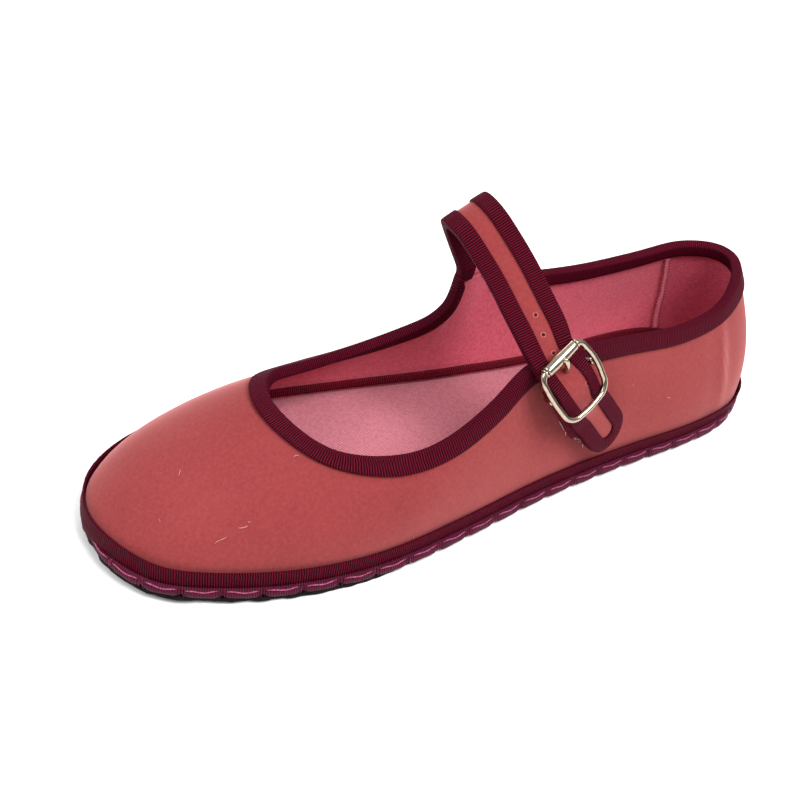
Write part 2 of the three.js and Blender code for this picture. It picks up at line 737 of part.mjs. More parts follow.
function strapBinding() {
  const stops = [];
  const seamStep = fold;
  for (const rung of rungs) {
    const run = Math.max(rung.run, seamStep);
    if (run <= straightSpan) stops.push({ run, side: strapHalfWidth(run), angle: 0 });
  }
  for (let i = 1; i < tipTurns; i += 1) {
    const angle = (i / tipTurns) * Math.PI;
    const run = straightSpan + tipRadius * Math.sin(angle);
    stops.push({ run, side: tipRadius * Math.cos(angle), angle });
  }
  for (const rung of [...rungs].reverse()) {
    const run = Math.max(rung.run, seamStep);
    if (run <= straightSpan) stops.push({ run, side: -strapHalfWidth(run), angle: Math.PI });
  }
  const rings = stops.map(({ run, side, angle }) => foldedTape((depth, face, off) => onStrap(
    run - depth * Math.sin(angle), side - depth * Math.cos(angle), face * (strapSheet / 2 + off))));
  return loft(rings);
}

// Rounded frame of wire, its tight corners at the roller, with the centre bar dropped under the strap
function buckleFrame() {
  const path = [];
  const corners = [
    { down: -1, across: 1, radius: rollerCorner },
    { down: -1, across: -1, radius: rollerCorner },
    { down: 1, across: -1, radius: frameCorner },
    { down: 1, across: 1, radius: frameCorner },
  ];
  corners.forEach(({ down, across, radius }, k) => {
    for (let i = 0; i <= cornerSteps; i += 1) {
      const angle = (k + 1 + i / cornerSteps) * (Math.PI / 2);
      path.push(atBuckle(down * (frameHalfLength - radius) + radius * Math.cos(angle),
        across * (frameHalfWidth - radius) + radius * Math.sin(angle), frameRise));
    }
  });
  const ring = wire(path, buckleOut, wireRadius, frameSides, true);
  const corner = barBendRadius * barCorner;
  const halfBar = [
    { across: frameHalfWidth, out: frameRise },
    { across: frameHalfWidth, out: barBendRadius },
    { across: frameHalfWidth - corner, out: corner },
    { across: frameHalfWidth - barBendRadius, out: 0 },
  ];
  const barPath = [
    ...halfBar.map(({ across, out }) => atBuckle(0, across, out)),
    ...halfBar.reverse().map(({ across, out }) => atBuckle(0, -across, out)),
  ];
  const bar = wire(barPath, buckleDown, barRadius, thinSides, false);
  return geometryOf(solid(ring).add(solid(bar)));
}

// Tube with its bore along the buckle's width
function tube(down, out, inner, outer, halfWidth) {
  const rings = [];
  for (let k = 0; k < tubeSides; k += 1) {
    const angle = (k / tubeSides) * 2 * Math.PI;
    const at = (radius, across) => atBuckle(
      down + radius * Math.cos(angle), across, out + radius * Math.sin(angle));
    rings.push([at(inner, -halfWidth), at(outer, -halfWidth), at(outer, halfWidth), at(inner, halfWidth)]);
  }
  return loft(rings, { loop: true });
}

function buckleRoller() {
  return tube(-frameHalfLength, frameRise, wireRadius + gap, rollerRadius,
    frameHalfWidth - rollerCorner - gap);
}

function buckleProng() {
  const loop = [];
  for (let i = 0; i < loopSteps; i += 1) {
    const angle = (i / loopSteps) * 2 * Math.PI;
    loop.push(atBuckle(loopRadius * Math.cos(angle), 0, loopRadius * Math.sin(angle)));
  }
  const ring = wire(loop, buckleAcross, prongRadius, thinSides, true);
  const arm = wire(prongPath(), buckleAcross, prongRadius, thinSides, false);
  return geometryOf(solid(ring).add(solid(arm)));
}

// The tab: a loop of tape round the centre bar and its doubled tail, sewn flat on the wall
function buckleTab() {
  const inner = barRadius + gap;
  const middle = (inner + tabRadius) / 2;
  const rows = [{ point: atBuckle(middle, 0, -tabTape / 2), out: buckleOut }];
  for (let i = 1; i <= tailSteps; i += 1) {
    const down = middle + (tabLength - middle) * (i / tailSteps);
    const at = barCentre.clone().addScaledVector(buckleDown, down);
    rows.push(outerSide(at.x, at.z, gap + tabTape + fold / i));
  }
  const rings = rows.map(({ point, out }) => {
    const across = buckleAcross.clone().addScaledVector(out, -buckleAcross.dot(out)).normalize();
    const corner = (side, off) => point.clone().addScaledVector(across, side).addScaledVector(out, off);
    const half = tabWidth / 2;
    return [corner(-half, -tabTape), corner(half, -tabTape), corner(half, tabTape), corner(-half, tabTape)];
  });
  const tail = solid(loft(rings));
  const loop = solid(tube(0, 0, inner, tabRadius, tabWidth / 2));
  const slot = solid(tube(0, 0, inner / 2, loopRadius + prongRadius + gap, prongRadius + gap));
  const boreLine = [atBuckle(0, -tabWidth, 0), atBuckle(0, tabWidth, 0)];
  const bore = solid(wire(boreLine, buckleDown, inner, tubeSides, false));
  return geometryOf(tail.add(loop).subtract(bore).subtract(slot));
}

function part(name, geometry, color, roughness, metalness) {
  const mesh = new THREE.Mesh(geometry, new THREE.MeshStandardMaterial({ color, roughness, metalness }));
  mesh.name = name;
  return mesh;
}

const shoe = new THREE.Group();
shoe.add(part('outsole', outsole(), '#1b1a1c', 0.75, 0));
shoe.add(part('stitched_edge', stitchedEdgePlate(), '#7a1547', 0.85, 0));
shoe.add(part('insole', insole(), '#d68791', 0.9, 0));
shoe.add(part('upper', upper(), '#b04b4b', 0.95, 0));
shoe.add(part('lower_band', lowerBand(), '#5a0a24', 0.85, 0));
shoe.add(part('insole_tape', insoleTape(), '#4e0a20', 0.85, 0));
shoe.add(part('topline_binding', toplineBinding(), '#5a0a24', 0.85, 0));
shoe.add(part('strap', strap(), '#b04b4b', 0.95, 0));
shoe.add(part('strap_binding', strapBinding(), '#5a0a24', 0.85, 0));
shoe.add(part('buckle_frame', buckleFrame(), '#d9cfb4', 0.25, 1));
shoe.add(part('buckle_roller', buckleRoller(), '#d9cfb4', 0.25, 1));
shoe.add(part('buckle_prong', buckleProng(), '#d9cfb4', 0.25, 1));
shoe.add(part('buckle_tab', buckleTab(), '#5a0a24', 0.85, 0));

// The origin lies under the middle of the shoe, on the floor
const box = new THREE.Box3().setFromObject(shoe);
shoe.position.set(-(box.min.x + box.max.x) / 2, -(box.min.y + box.max.y) / 2, -box.min.z);
shoe.updateMatrixWorld(true);

export default shoe;
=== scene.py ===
import math

import bmesh
import bpy
from mathutils import Matrix, Vector, noise
from mathutils.bvhtree import BVHTree


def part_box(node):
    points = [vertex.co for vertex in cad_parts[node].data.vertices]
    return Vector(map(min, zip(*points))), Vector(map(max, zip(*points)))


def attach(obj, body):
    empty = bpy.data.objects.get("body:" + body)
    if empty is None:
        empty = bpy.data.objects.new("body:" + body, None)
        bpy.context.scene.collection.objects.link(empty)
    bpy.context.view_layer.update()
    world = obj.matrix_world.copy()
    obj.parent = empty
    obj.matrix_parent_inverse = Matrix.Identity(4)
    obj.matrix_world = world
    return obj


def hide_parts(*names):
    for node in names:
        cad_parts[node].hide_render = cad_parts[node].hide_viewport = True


# Left mary jane flat in velvet. +X runs to the toe, +Y to the outer side with the buckle, +Z up; metres.
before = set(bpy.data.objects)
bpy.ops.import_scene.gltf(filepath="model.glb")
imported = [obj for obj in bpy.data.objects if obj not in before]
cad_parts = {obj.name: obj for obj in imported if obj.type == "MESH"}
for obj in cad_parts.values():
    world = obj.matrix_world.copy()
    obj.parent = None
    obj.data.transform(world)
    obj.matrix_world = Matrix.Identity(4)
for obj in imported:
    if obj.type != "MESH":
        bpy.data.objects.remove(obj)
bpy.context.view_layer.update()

MM = 0.001
X, Y, Z = Vector((1, 0, 0)), Vector((0, 1, 0)), Vector((0, 0, 1))


# Camera, at the photograph's place and turn

def set_camera():
    place = Vector((181.8, 219.0, 245.9)) * MM
    aim = Vector((-0.45555, -0.63183, -0.62711))
    right = Vector((-0.85884, 0.49730, 0.12284))
    camera = bpy.data.cameras.new("camera")
    camera.lens = 49.31
    camera.sensor_width = 36.0
    camera.clip_start = 0.01
    holder = bpy.data.objects.new("camera", camera)
    turn = Matrix((right, right.cross(aim), -aim)).transposed()
    holder.matrix_world = Matrix.Translation(place) @ turn.to_4x4()
    bpy.context.scene.collection.objects.link(holder)
    bpy.context.scene.camera = holder


set_camera()


# Working by hand: selecting, shaping, finishing

def deselect():
    if bpy.context.mode != "OBJECT":
        bpy.ops.object.mode_set(mode="OBJECT")
    bpy.ops.object.select_all(action="DESELECT")


def take(piece):
    """Makes a piece the only one selected."""
    deselect()
    piece.select_set(True)
    bpy.context.view_layer.objects.active = piece
    return piece


def mesh_work(piece, *steps):
    """Edit-mode steps, each an operator's name and its values, on the whole of a piece."""
    take(piece)
    bpy.ops.object.mode_set(mode="EDIT")
    for name, values in steps:
        bpy.ops.mesh.select_all(action="SELECT")
        getattr(bpy.ops.mesh, name)(**values)
    bpy.ops.object.mode_set(mode="OBJECT")
    return piece


def apply_modifier(piece, kind, **values):
    take(piece)
    modifier = piece.modifiers.new(kind.lower(), kind)
    for key, value in values.items():
        setattr(modifier, key, value)
    bpy.ops.object.modifier_apply(modifier=modifier.name)
    return piece


def settled(piece, name):
    """Names a piece and puts its place into its mesh."""
    take(piece)
    piece.name = name
    bpy.ops.object.transform_apply(location=True, rotation=True, scale=True)
    return piece


def dress(piece, slot, materials, *nodes):
    """Gives a piece its cloths or metal and its body, smooths its faces and hides the solids that it stands
    for; slot is not used.
    """
    piece.data.materials.clear()
    for material in materials:
        piece.data.materials.append(material)
    for face in piece.data.polygons:
        face.use_smooth = True
    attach(piece, "root")
    if nodes:
        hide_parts(*nodes)
    return piece


def joined(pieces, name):
    deselect()
    for piece in pieces:
        piece.select_set(True)
    bpy.context.view_layer.objects.active = pieces[0]
    if len(pieces) > 1:
        bpy.ops.object.join()
    return settled(bpy.context.view_layer.objects.active, name)


# Materials

def linear(hex_colour):
    channels = [int(hex_colour[i:i + 2], 16) / 255 for i in (1, 3, 5)]
    return tuple(c / 12.92 if c <= 0.04045 else ((c + 0.055) / 1.055) ** 2.4 for c in channels) + (1.0,)


def put(tree, kind, values=None, links=None, stops=None, **settings):
    """Adds a node with its settings, socket values, links and, on a ramp, its (place, colour) stops."""
    node = tree.nodes.new(kind)
    for key, value in settings.items():
        setattr(node, key, value)
    for key, value in (values or {}).items():
        node.inputs[key].default_value = value
    for key, socket in (links or {}).items():
        tree.links.new(socket, node.inputs[key])
    if stops:
        elements = node.color_ramp.elements
        while len(elements) < len(stops):
            elements.new(0.5)
        for element, (place, colour) in zip(elements, stops):
            element.position = place
            element.color = linear(colour)
    return node


def surface(name, **values):
    """A new material with its tree, its shader and the object's own coordinates."""
    material = bpy.data.materials.new(name)
    material.use_nodes = True
    tree = material.node_tree
    shader = tree.nodes["Principled BSDF"]
    for key, value in values.items():
        shader.inputs[key.replace("_", " ")].default_value = value
    return material, tree, shader, put(tree, "ShaderNodeTexCoord").outputs["Object"]


def every(width):
    """Scale of a pattern whose grains are about so many millimetres wide."""
    return 1 / (width * MM)


def striped(tree, run, pitch):
    """Even lines across a run in millimetres, 0 in their grooves and 1 on their crests."""
    turned = put(tree, "ShaderNodeMath", {1: 2 * math.pi / pitch}, {0: run}, operation="MULTIPLY")
    wave = put(tree, "ShaderNodeMath", links={0: turned.outputs[0]}, operation="SINE")
    return put(tree, "ShaderNodeMapRange", {"From Min": -1.0}, {"Value": wave.outputs[0]}).outputs[0]


def cotton_velvet():
    # Cotton velvet, woven with a cut pile: deep and matt face on, greyish pink where the pile is seen
    # from the side, a fine grain where tufts lean apart. Tufts of 0.4 mm are drawn 1.1 mm wide to show.
    material, tree, shader, place = surface(
        "cotton_velvet", Roughness=1.0, IOR=1.45, Specular_IOR_Level=0.05,
        Sheen_Weight=1.0, Sheen_Roughness=0.44, Sheen_Tint=linear("#c08c8a"))
    clouds = put(tree, "ShaderNodeTexNoise", {"Scale": every(29.41), "Detail": 2.0}, {"Vector": place})
    tufts = put(tree, "ShaderNodeTexNoise", {"Scale": every(1.111), "Detail": 3.0, "Roughness": 0.7},
                {"Vector": place})
    flecks = put(tree, "ShaderNodeTexNoise", {"Scale": every(2.083), "Detail": 1.0}, {"Vector": place})
    leaning = put(tree, "ShaderNodeValToRGB", links={"Fac": clouds.outputs["Fac"]},
                  stops=[(0.30, "#7d3032"), (0.55, "#843436"), (0.75, "#8a3a3b")])
    grain = put(tree, "ShaderNodeValToRGB", links={"Fac": tufts.outputs["Fac"]},
                stops=[(0.34, "#793032"), (0.50, "#833637"), (0.68, "#8d3f3e")])
    cloth = put(tree, "ShaderNodeMix", {0: 0.5}, {6: leaning.outputs["Color"], 7: grain.outputs["Color"]},
                data_type="RGBA")
    fleck = put(tree, "ShaderNodeMapRange", {"From Min": 0.68, "From Max": 0.76, "To Max": 0.25},
                {"Value": flecks.outputs["Fac"]})
    flecked = put(tree, "ShaderNodeMix", {7: linear("#6d2c33")}, {0: fleck.outputs[0], 6: cloth.outputs[2]},
                  data_type="RGBA")
    # Paler along the heel crease, from the mesh's rubbed attribute: partly rubbed pile, partly a painted
    # sheen highlight where the fold catches the light.
    rubbed_and_sheen = put(tree, "ShaderNodeAttribute", attribute_name="rubbed_and_sheen")
    worn_and_sheen = put(tree, "ShaderNodeMix", {7: linear("#b57470")},
               {0: rubbed_and_sheen.outputs["Fac"], 6: flecked.outputs[2]}, data_type="RGBA")
    tree.links.new(worn_and_sheen.outputs[2], shader.inputs["Base Color"])
    pile = put(tree, "ShaderNodeBump", {"Strength": 0.25, "Distance": 0.2 * MM},
               {"Height": tufts.outputs["Fac"]})
    tree.links.new(pile.outputs["Normal"], shader.inputs["Normal"])
    return material


def grosgrain(name, crest, groove, sheen="#7a2058", gloss=0.03):
    # Rayon grosgrain, woven with round weft ribs across the tape: dark grooves, and a purple gloss on the
    # crests. Ribs of 0.55 mm are drawn 0.74 mm apart to show. They follow the tape's run in millimetres.
    rib_pitch = 0.74
    material, tree, shader, place = surface(
        name, Roughness=0.6, IOR=1.5, Specular_IOR_Level=gloss,
        Sheen_Weight=0.08, Sheen_Roughness=0.35, Sheen_Tint=linear(sheen))
    run = put(tree, "ShaderNodeUVMap", uv_map="run").outputs["UV"]
    apart = put(tree, "ShaderNodeSeparateXYZ", links={"Vector": run})
    slack = put(tree, "ShaderNodeTexNoise", {"Scale": every(2.0), "Detail": 1.0}, {"Vector": place})
    shifted = put(tree, "ShaderNodeMath", {1: 0.45}, {0: slack.outputs["Fac"], 2: apart.outputs["X"]},
                  operation="MULTIPLY_ADD")
    rib = striped(tree, shifted.outputs[0], rib_pitch)
    fibres = put(tree, "ShaderNodeTexNoise", {"Scale": every(0.625), "Detail": 2.0}, {"Vector": place})
    height = put(tree, "ShaderNodeMath", {1: 0.4}, {0: fibres.outputs["Fac"], 2: rib},
                 operation="MULTIPLY_ADD")
    colour = put(tree, "ShaderNodeValToRGB", links={"Fac": height.outputs[0]},
                 stops=[(0.15, groove), (0.55, groove), (1.0, crest)])
    tree.links.new(colour.outputs["Color"], shader.inputs["Base Color"])
    ribs = put(tree, "ShaderNodeBump", {"Strength": 0.8, "Distance": 0.24 * MM},
               {"Height": height.outputs[0]})
    tree.links.new(ribs.outputs["Normal"], shader.inputs["Normal"])
    return material


def twill(name, light, dark, pitch, lean=0.8, knit=False):
    # Cotton lining cloth, twill woven or brushed knit: matt, fine slanting lines or chevrons of two near
    # colours, uneven from thread to thread. Threads of 0.4 mm are drawn 0.8 to 2.5 mm apart to show.
    material, tree, shader, place = surface(
        name, Roughness=0.95, IOR=1.45, Specular_IOR_Level=0.15,
        Sheen_Weight=0.2, Sheen_Roughness=0.5, Sheen_Tint=linear("#f6c6cb"))
    run = put(tree, "ShaderNodeUVMap", uv_map="run").outputs["UV"]
    apart = put(tree, "ShaderNodeSeparateXYZ", links={"Vector": run})
    side = apart.outputs["X"]
    if knit:
        folded = put(tree, "ShaderNodeMath", {1: 0.9}, {0: side}, operation="PINGPONG")
        side = folded.outputs[0]
    leaning = put(tree, "ShaderNodeMath", {1: lean}, {0: side, 2: apart.outputs["Y"]},
                  operation="MULTIPLY_ADD")
    slack = put(tree, "ShaderNodeTexNoise", {"Scale": every(2.381), "Detail": 2.0}, {"Vector": place})
    loose = put(tree, "ShaderNodeMath", {1: 0.9}, {0: slack.outputs["Fac"], 2: leaning.outputs[0]},
                operation="MULTIPLY_ADD")
    thread = striped(tree, loose.outputs[0], pitch)
    lines = put(tree, "ShaderNodeValToRGB", links={"Fac": thread}, stops=[(0.0, dark), (1.0, light)])
    slubs = put(tree, "ShaderNodeTexNoise", {"Scale": every(1.111), "Detail": 2.0, "Roughness": 0.8},
                {"Vector": place})
    speckle = put(tree, "ShaderNodeValToRGB", links={"Fac": slubs.outputs["Fac"]},
                  stops=[(0.35, dark), (0.65, light)])
    cloth = put(tree, "ShaderNodeMix", {0: 0.4}, {6: lines.outputs["Color"], 7: speckle.outputs["Color"]},
                data_type="RGBA")
    tree.links.new(cloth.outputs[2], shader.inputs["Base Color"])
    weave = put(tree, "ShaderNodeBump", {"Strength": 0.6, "Distance": 0.15 * MM}, {"Height": thread})
    tree.links.new(weave.outputs["Normal"], shader.inputs["Normal"])
    return material


def black_rubber():
    # Vulcanised rubber, calendered and cut: near black, satin, dusty and slightly torn along the cut.
    material, tree, shader, place = surface(
        "vulcanised_rubber", Roughness=0.7, IOR=1.52, Specular_IOR_Level=0.12)
    dust = put(tree, "ShaderNodeTexNoise", {"Scale": every(2.381), "Detail": 4.0}, {"Vector": place})
    colour = put(tree, "ShaderNodeValToRGB", links={"Fac": dust.outputs["Fac"]},
                 stops=[(0.35, "#060507"), (0.75, "#151116")])
    tree.links.new(colour.outputs["Color"], shader.inputs["Base Color"])
    tears = put(tree, "ShaderNodeBump", {"Strength": 0.5, "Distance": 0.3 * MM},
                {"Height": dust.outputs["Fac"]})
    tree.links.new(tears.outputs["Normal"], shader.inputs["Normal"])
    return material


def pale_gold():
    # Zinc, die cast, polished and plated pale gold: mirror bright, with faint polishing marks.
    material, tree, shader, place = surface("pale_gold_plated_zinc", Metallic=1.0)
    marks = put(tree, "ShaderNodeTexNoise", {"Scale": every(1.667), "Detail": 3.0}, {"Vector": place})
    colour = put(tree, "ShaderNodeValToRGB", links={"Fac": marks.outputs["Fac"]},
                 stops=[(0.3, "#a49482"), (0.7, "#bcae9c")])
    tree.links.new(colour.outputs["Color"], shader.inputs["Base Color"])
    gloss = put(tree, "ShaderNodeMapRange", {"To Min": 0.05, "To Max": 0.16}, {"Value": marks.outputs["Fac"]})
    tree.links.new(gloss.outputs[0], shader.inputs["Roughness"])
    return material


def fibre(name, dark, light, gloss):
    # Fibres laid together, as twisted polyester thread, loose cotton or pressed pile: small bright bands
    # where they turn. Fibres of 0.1 mm are drawn 0.4 mm wide to show.
    material, tree, shader, place = surface(name, Roughness=0.45, IOR=1.5, Specular_IOR_Level=gloss)
    plies = put(tree, "ShaderNodeTexNoise", {"Scale": every(0.4167), "Detail": 1.0}, {"Vector": place})
    colour = put(tree, "ShaderNodeValToRGB", links={"Fac": plies.outputs["Fac"]},
                 stops=[(0.35, dark), (0.65, light)])
    tree.links.new(colour.outputs["Color"], shader.inputs["Base Color"])
    turns = put(tree, "ShaderNodeBump", {"Strength": 0.6, "Distance": 0.1 * MM},
                {"Height": plies.outputs["Fac"]})
    tree.links.new(turns.outputs["Normal"], shader.inputs["Normal"])
    return material


VELVET = cotton_velvet()
TAPE = grosgrain("rayon_grosgrain", "#5c0d22", "#1e0208")
INSIDE_TAPE = grosgrain("rayon_grosgrain_inside", "#7c2030", "#340810")
EDGE_CLOTH = grosgrain("rayon_grosgrain_over_edge", "#5c0f2e", "#300618", sheen="#90305f", gloss=0.14)
INSOLE_TWILL = twill("cotton_twill_insole", "#ca808a", "#985260", 2.5, lean=2.6)
LINING_TWILL = twill("cotton_twill_lining", "#e46a7e", "#ae4054", 0.8)
SEAM_TAPE = twill("cotton_seam_tape", "#ee8492", "#bc5468", 0.8)
COUNTER_KNIT = twill("brushed_knit_counter_lining", "#dc5c72", "#92304a", 0.9, knit=True)
RUBBER = black_rubber()
METAL = pale_gold()
EDGE_THREAD = fibre("rose_edge_thread", "#7e264a", "#b0547c", gloss=0.3)
LINING_THREAD = fibre("rose_lining_thread", "#6a2034", "#8e3c50", gloss=0.2)
PALE_THREAD = fibre("undyed_frayed_thread", "#b99aa4", "#e2d2d6", gloss=0.2)
LINT = fibre("cotton_lint", "#b87a72", "#d09a92", gloss=0.1)
PRESSED_PILE = fibre("pressed_cotton_pile", "#96484a", "#ac605e", gloss=0.03)
# Painted shade: dark discs laid on the strap stand for the shade inside its uncut holes.
HOLE_SHADE = fibre("painted_shade_in_holes", "#2c0a0c", "#4c1a1c", gloss=0.02)


# Copies of the solids, rounded

def copy_of(node, name):
    """A copy of a solid with its corners merged."""
    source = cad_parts[node]
    piece = bpy.data.objects.new(name, source.data.copy())
    piece.matrix_world = source.matrix_world
    bpy.context.scene.collection.objects.link(piece)
    for layer in list(piece.data.uv_layers):
        piece.data.uv_layers.remove(layer)
    return mesh_work(piece, ("remove_doubles", {"threshold": 0.02 * MM}))


def rounded(piece, levels=2, sharp=38.0):
    """Joins the facets into quads and subdivides them; edges sharper than an angle stay fairly tight."""
    slack = math.radians(60)
    tight = 0.7
    mesh_work(piece, ("tris_convert_to_quads", {"face_threshold": slack, "shape_threshold": slack}))
    mesh = bmesh.new()
    mesh.from_mesh(piece.data)
    crease = mesh.edges.layers.float.get("crease_edge") or mesh.edges.layers.float.new("crease_edge")
    for edge in mesh.edges:
        if len(edge.link_faces) == 2 and edge.calc_face_angle(0.0) > math.radians(sharp):
            edge[crease] = tight
    mesh.to_mesh(piece.data)
    mesh.free()
    return apply_modifier(piece, "SUBSURF", levels=levels, render_levels=levels)


def wall_of(piece):
    """The faces of a piece, for rays to meet and threads to lie on."""
    corners = [corner.co for corner in piece.data.vertices]
    return BVHTree.FromPolygons(corners, [face.vertices for face in piece.data.polygons])


def write_run(piece, run_of, whole=None):
    """The map named run: millimetres along the piece, and its height; whole is the length of a closed one."""
    layer = piece.data.uv_layers.new(name="run")
    corners = piece.data.loops
    for face in piece.data.polygons:
        runs = [run_of[corners[i].vertex_index] for i in face.loop_indices]
        if whole and max(runs) - min(runs) > whole / 2:
            runs = [run + whole if run < whole / 2 else run for run in runs]
        for i, run in zip(face.loop_indices, runs):
            layer.data[i].uv = (run, piece.data.vertices[corners[i].vertex_index].co.z / MM)


def flat_run(piece, up=2):
    """The map named run on a piece that is no tape: x and, as up is 1 or 2, y or z in millimetres."""
    layer = piece.data.uv_layers.new(name="run")
    for loop in piece.data.loops:
        co = piece.data.vertices[loop.vertex_index].co
        layer.data[loop.index].uv = (co.x / MM, co[up] / MM)


def rings_from(piece, centre, count=11):
    """Rings of a lofted tape, counted from the one at its end nearest a point."""
    corners = piece.data.vertices
    near = [[] for _ in corners]
    for edge in piece.data.edges:
        a, b = edge.vertices
        near[a].append(b)
        near[b].append(a)
    ring = sorted(range(len(corners)), key=lambda i: (corners[i].co - centre).length)[:count]
    seen = set(ring)
    rings = []
    while ring:
        rings.append(ring)
        following = {other for i in ring for other in near[i]} - seen
        seen |= following
        ring = sorted(following)
    return rings


def middle_of(piece, ring):
    return sum((piece.data.vertices[i].co for i in ring), Vector()) / len(ring)


def run_along(piece, rings):
    """Run of each corner of an open tape, measured square to the line through its rings' middles."""
    tried = 3
    line = [middle_of(piece, ring) for ring in rings]
    runs = [0.0]
    for a, b in zip(line, line[1:]):
        runs.append(runs[-1] + (b - a).length / MM)
    run_of = {}
    for k, ring in enumerate(rings):
        for i in ring:
            co = piece.data.vertices[i].co
            best = (math.inf, 0.0)
            for s in range(max(k - tried, 0), min(k + tried, len(line) - 1)):
                along = line[s + 1] - line[s]
                share = min(max((co - line[s]).dot(along) / along.length_squared, 0.0), 1.0)
                away = (co - line[s] - along * share).length
                if away < best[0]:
                    best = (away, runs[s] + share * (runs[s + 1] - runs[s]))
            run_of[i] = best[1]
    write_run(piece, run_of)


def lengthened(piece, rings, reach):
    """Draws both ends of a tape out along its own direction, by a reach in millimetres."""
    for end in (rings, rings[::-1]):
        away = (middle_of(piece, end[0]) - middle_of(piece, end[1])).normalized()
        for i in end[0]:
            piece.data.vertices[i].co += away * reach * MM


def rise(value, start, end):
    """0 before the start, 1 past the end, eased between them."""
    share = min(max((value - start) / (end - start), 0.0), 1.0)
    return share * share * (3 - 2 * share)


def swell_toe(piece):
    """The inner front of the toe stands up to a millimetre fuller over the edge."""
    toe_middle = 85
    for corner in piece.data.vertices:
        x, y, z = corner.co / MM
        away = Vector((x - toe_middle, y, 0))
        if away.length > 1:
            fullness = rise(x, 92, 112) * rise(y, 16, -4) * rise(z, 36, 10)
            corner.co += away.normalized() * fullness * MM


# The rim of the sole: one closed line that the edge cloth, its thread and the rubber follow

# Height of that line above the underside of the sole, in millimetres
RIM_HEIGHT = 3.2


def turned_out(degrees):
    return Vector((math.cos(math.radians(degrees)), math.sin(math.radians(degrees)), 0))


class Rim:
    """Closed line round the widest part of the cloth edge, with its run, outward direction and height."""

    def __init__(self):
        edge = copy_of("stitched_edge", "rim_guide")
        wall = wall_of(edge)
        bpy.data.objects.remove(edge)
        low, high = (corner[2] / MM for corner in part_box("stitched_edge"))
        outside, clear, step, slack = 80, 0.1, 0.25, 0.12
        self.points = []
        for middle, away in self.spokes(360):
            hits = []
            height = low + clear
            while height < high:
                point = wall.ray_cast((middle + away * outside + Z * height) * MM, -away)[0]
                if point is not None:
                    hits.append(((point / MM - middle).dot(away), height))
                height += step
            widest = max(hits)[0]
            heights = [height for reach, height in hits if reach > widest - slack]
            self.points.append((middle + away * widest + Z * sum(heights) / len(heights)) * MM)
        count = len(self.points)
        for _ in range(5):
            # Each point moves a little towards its neighbours, so that facets don't show
            self.points = [(self.points[k - 1] + point * 2 + self.points[(k + 1) % count]) / 4
                           for k, point in enumerate(self.points)]
        self.runs = [0.0]
        for k in range(count):
            step = self.points[(k + 1) % count] - self.points[k]
            self.runs.append(self.runs[-1] + step.length / MM)
        self.length = self.runs[-1]

    def spokes(self, count):
        """Points on the middle line of the sole and directions outward, once round from the heel's middle."""
        # Half of the middle line, and the share of a quarter turn round each of its ends
        reach = 85.0
        arc = 40.0 * math.pi / 2
        whole = 4 * (reach + arc)
        for k in range(count):
            s = whole * k / count
            if s < arc:
                yield -X * reach, turned_out(180 + 90 * s / arc)
            elif s < arc + 2 * reach:
                yield X * (s - arc - reach), turned_out(270)
            elif s < 3 * arc + 2 * reach:
                yield X * reach, turned_out(270 + 90 * (s - arc - 2 * reach) / arc)
            elif s < 3 * arc + 4 * reach:
                yield X * (3 * reach - (s - 3 * arc)), turned_out(90)
            else:
                yield -X * reach, turned_out(90 + 90 * (s - 3 * arc - 4 * reach) / arc)

    def at(self, run):
        """Point and outward direction at a run."""
        run %= self.length
        low, high = 0, len(self.points)
        while high - low > 1:
            half = (low + high) // 2
            low, high = (half, high) if self.runs[half] <= run else (low, half)
        share = (run - self.runs[low]) / (self.runs[low + 1] - self.runs[low])
        count = len(self.points)
        point = self.points[low].lerp(self.points[(low + 1) % count], share)
        here = self.points[(low + 1) % count] - self.points[low - 1]
        there = self.points[(low + 2) % count] - self.points[low]
        along = here.lerp(there, share)
        return point, Vector((along.y, -along.x, 0)).normalized()

    def place(self, run, out, up):
        """Point beside the rim: out from it and up from the underside of the sole, in millimetres."""
        point, away = self.at(run)
        return point + away * out * MM + Z * (up - RIM_HEIGHT) * MM


rim = Rim()


def wire(name, points, radius, shares=None, closed=False, rounding=8):
    """Round wire of a radius in millimetres through points; shares of it thin it from point to point."""
    deselect()
    bpy.ops.curve.primitive_nurbs_path_add(location=(0, 0, 0))
    curve = bpy.context.object.data
    curve.splines.clear()
    line = curve.splines.new("POLY")
    line.points.add(len(points) - 1)
    for k, (corner, point) in enumerate(zip(line.points, points)):
        corner.co = (*point, 1.0)
        corner.radius = shares[k] if shares else 1.0
    line.use_cyclic_u = closed
    curve.dimensions = "3D"
    curve.bevel_depth = radius * MM
    curve.bevel_resolution = rounding
    curve.use_fill_caps = not closed
    bpy.ops.object.convert(target="MESH")
    piece = settled(bpy.context.object, name)
    return mesh_work(piece, ("remove_doubles", {"threshold": 0.002 * MM}),
                     ("normals_make_consistent", {"inside": False}))


def swept(name, columns, rows, place):
    """A grid whose corners are moved to place(share along, share across); doubled edges are merged."""
    deselect()
    bpy.ops.mesh.primitive_grid_add(x_subdivisions=columns, y_subdivisions=rows, size=1.0)
    piece = bpy.context.object
    for corner in piece.data.vertices:
        along, across = corner.co.x + 0.5, corner.co.y + 0.5
        corner.co = place(along, across)
    settled(piece, name)
    return mesh_work(piece, ("remove_doubles", {"threshold": 0.005 * MM}),
                     ("normals_make_consistent", {"inside": False}))


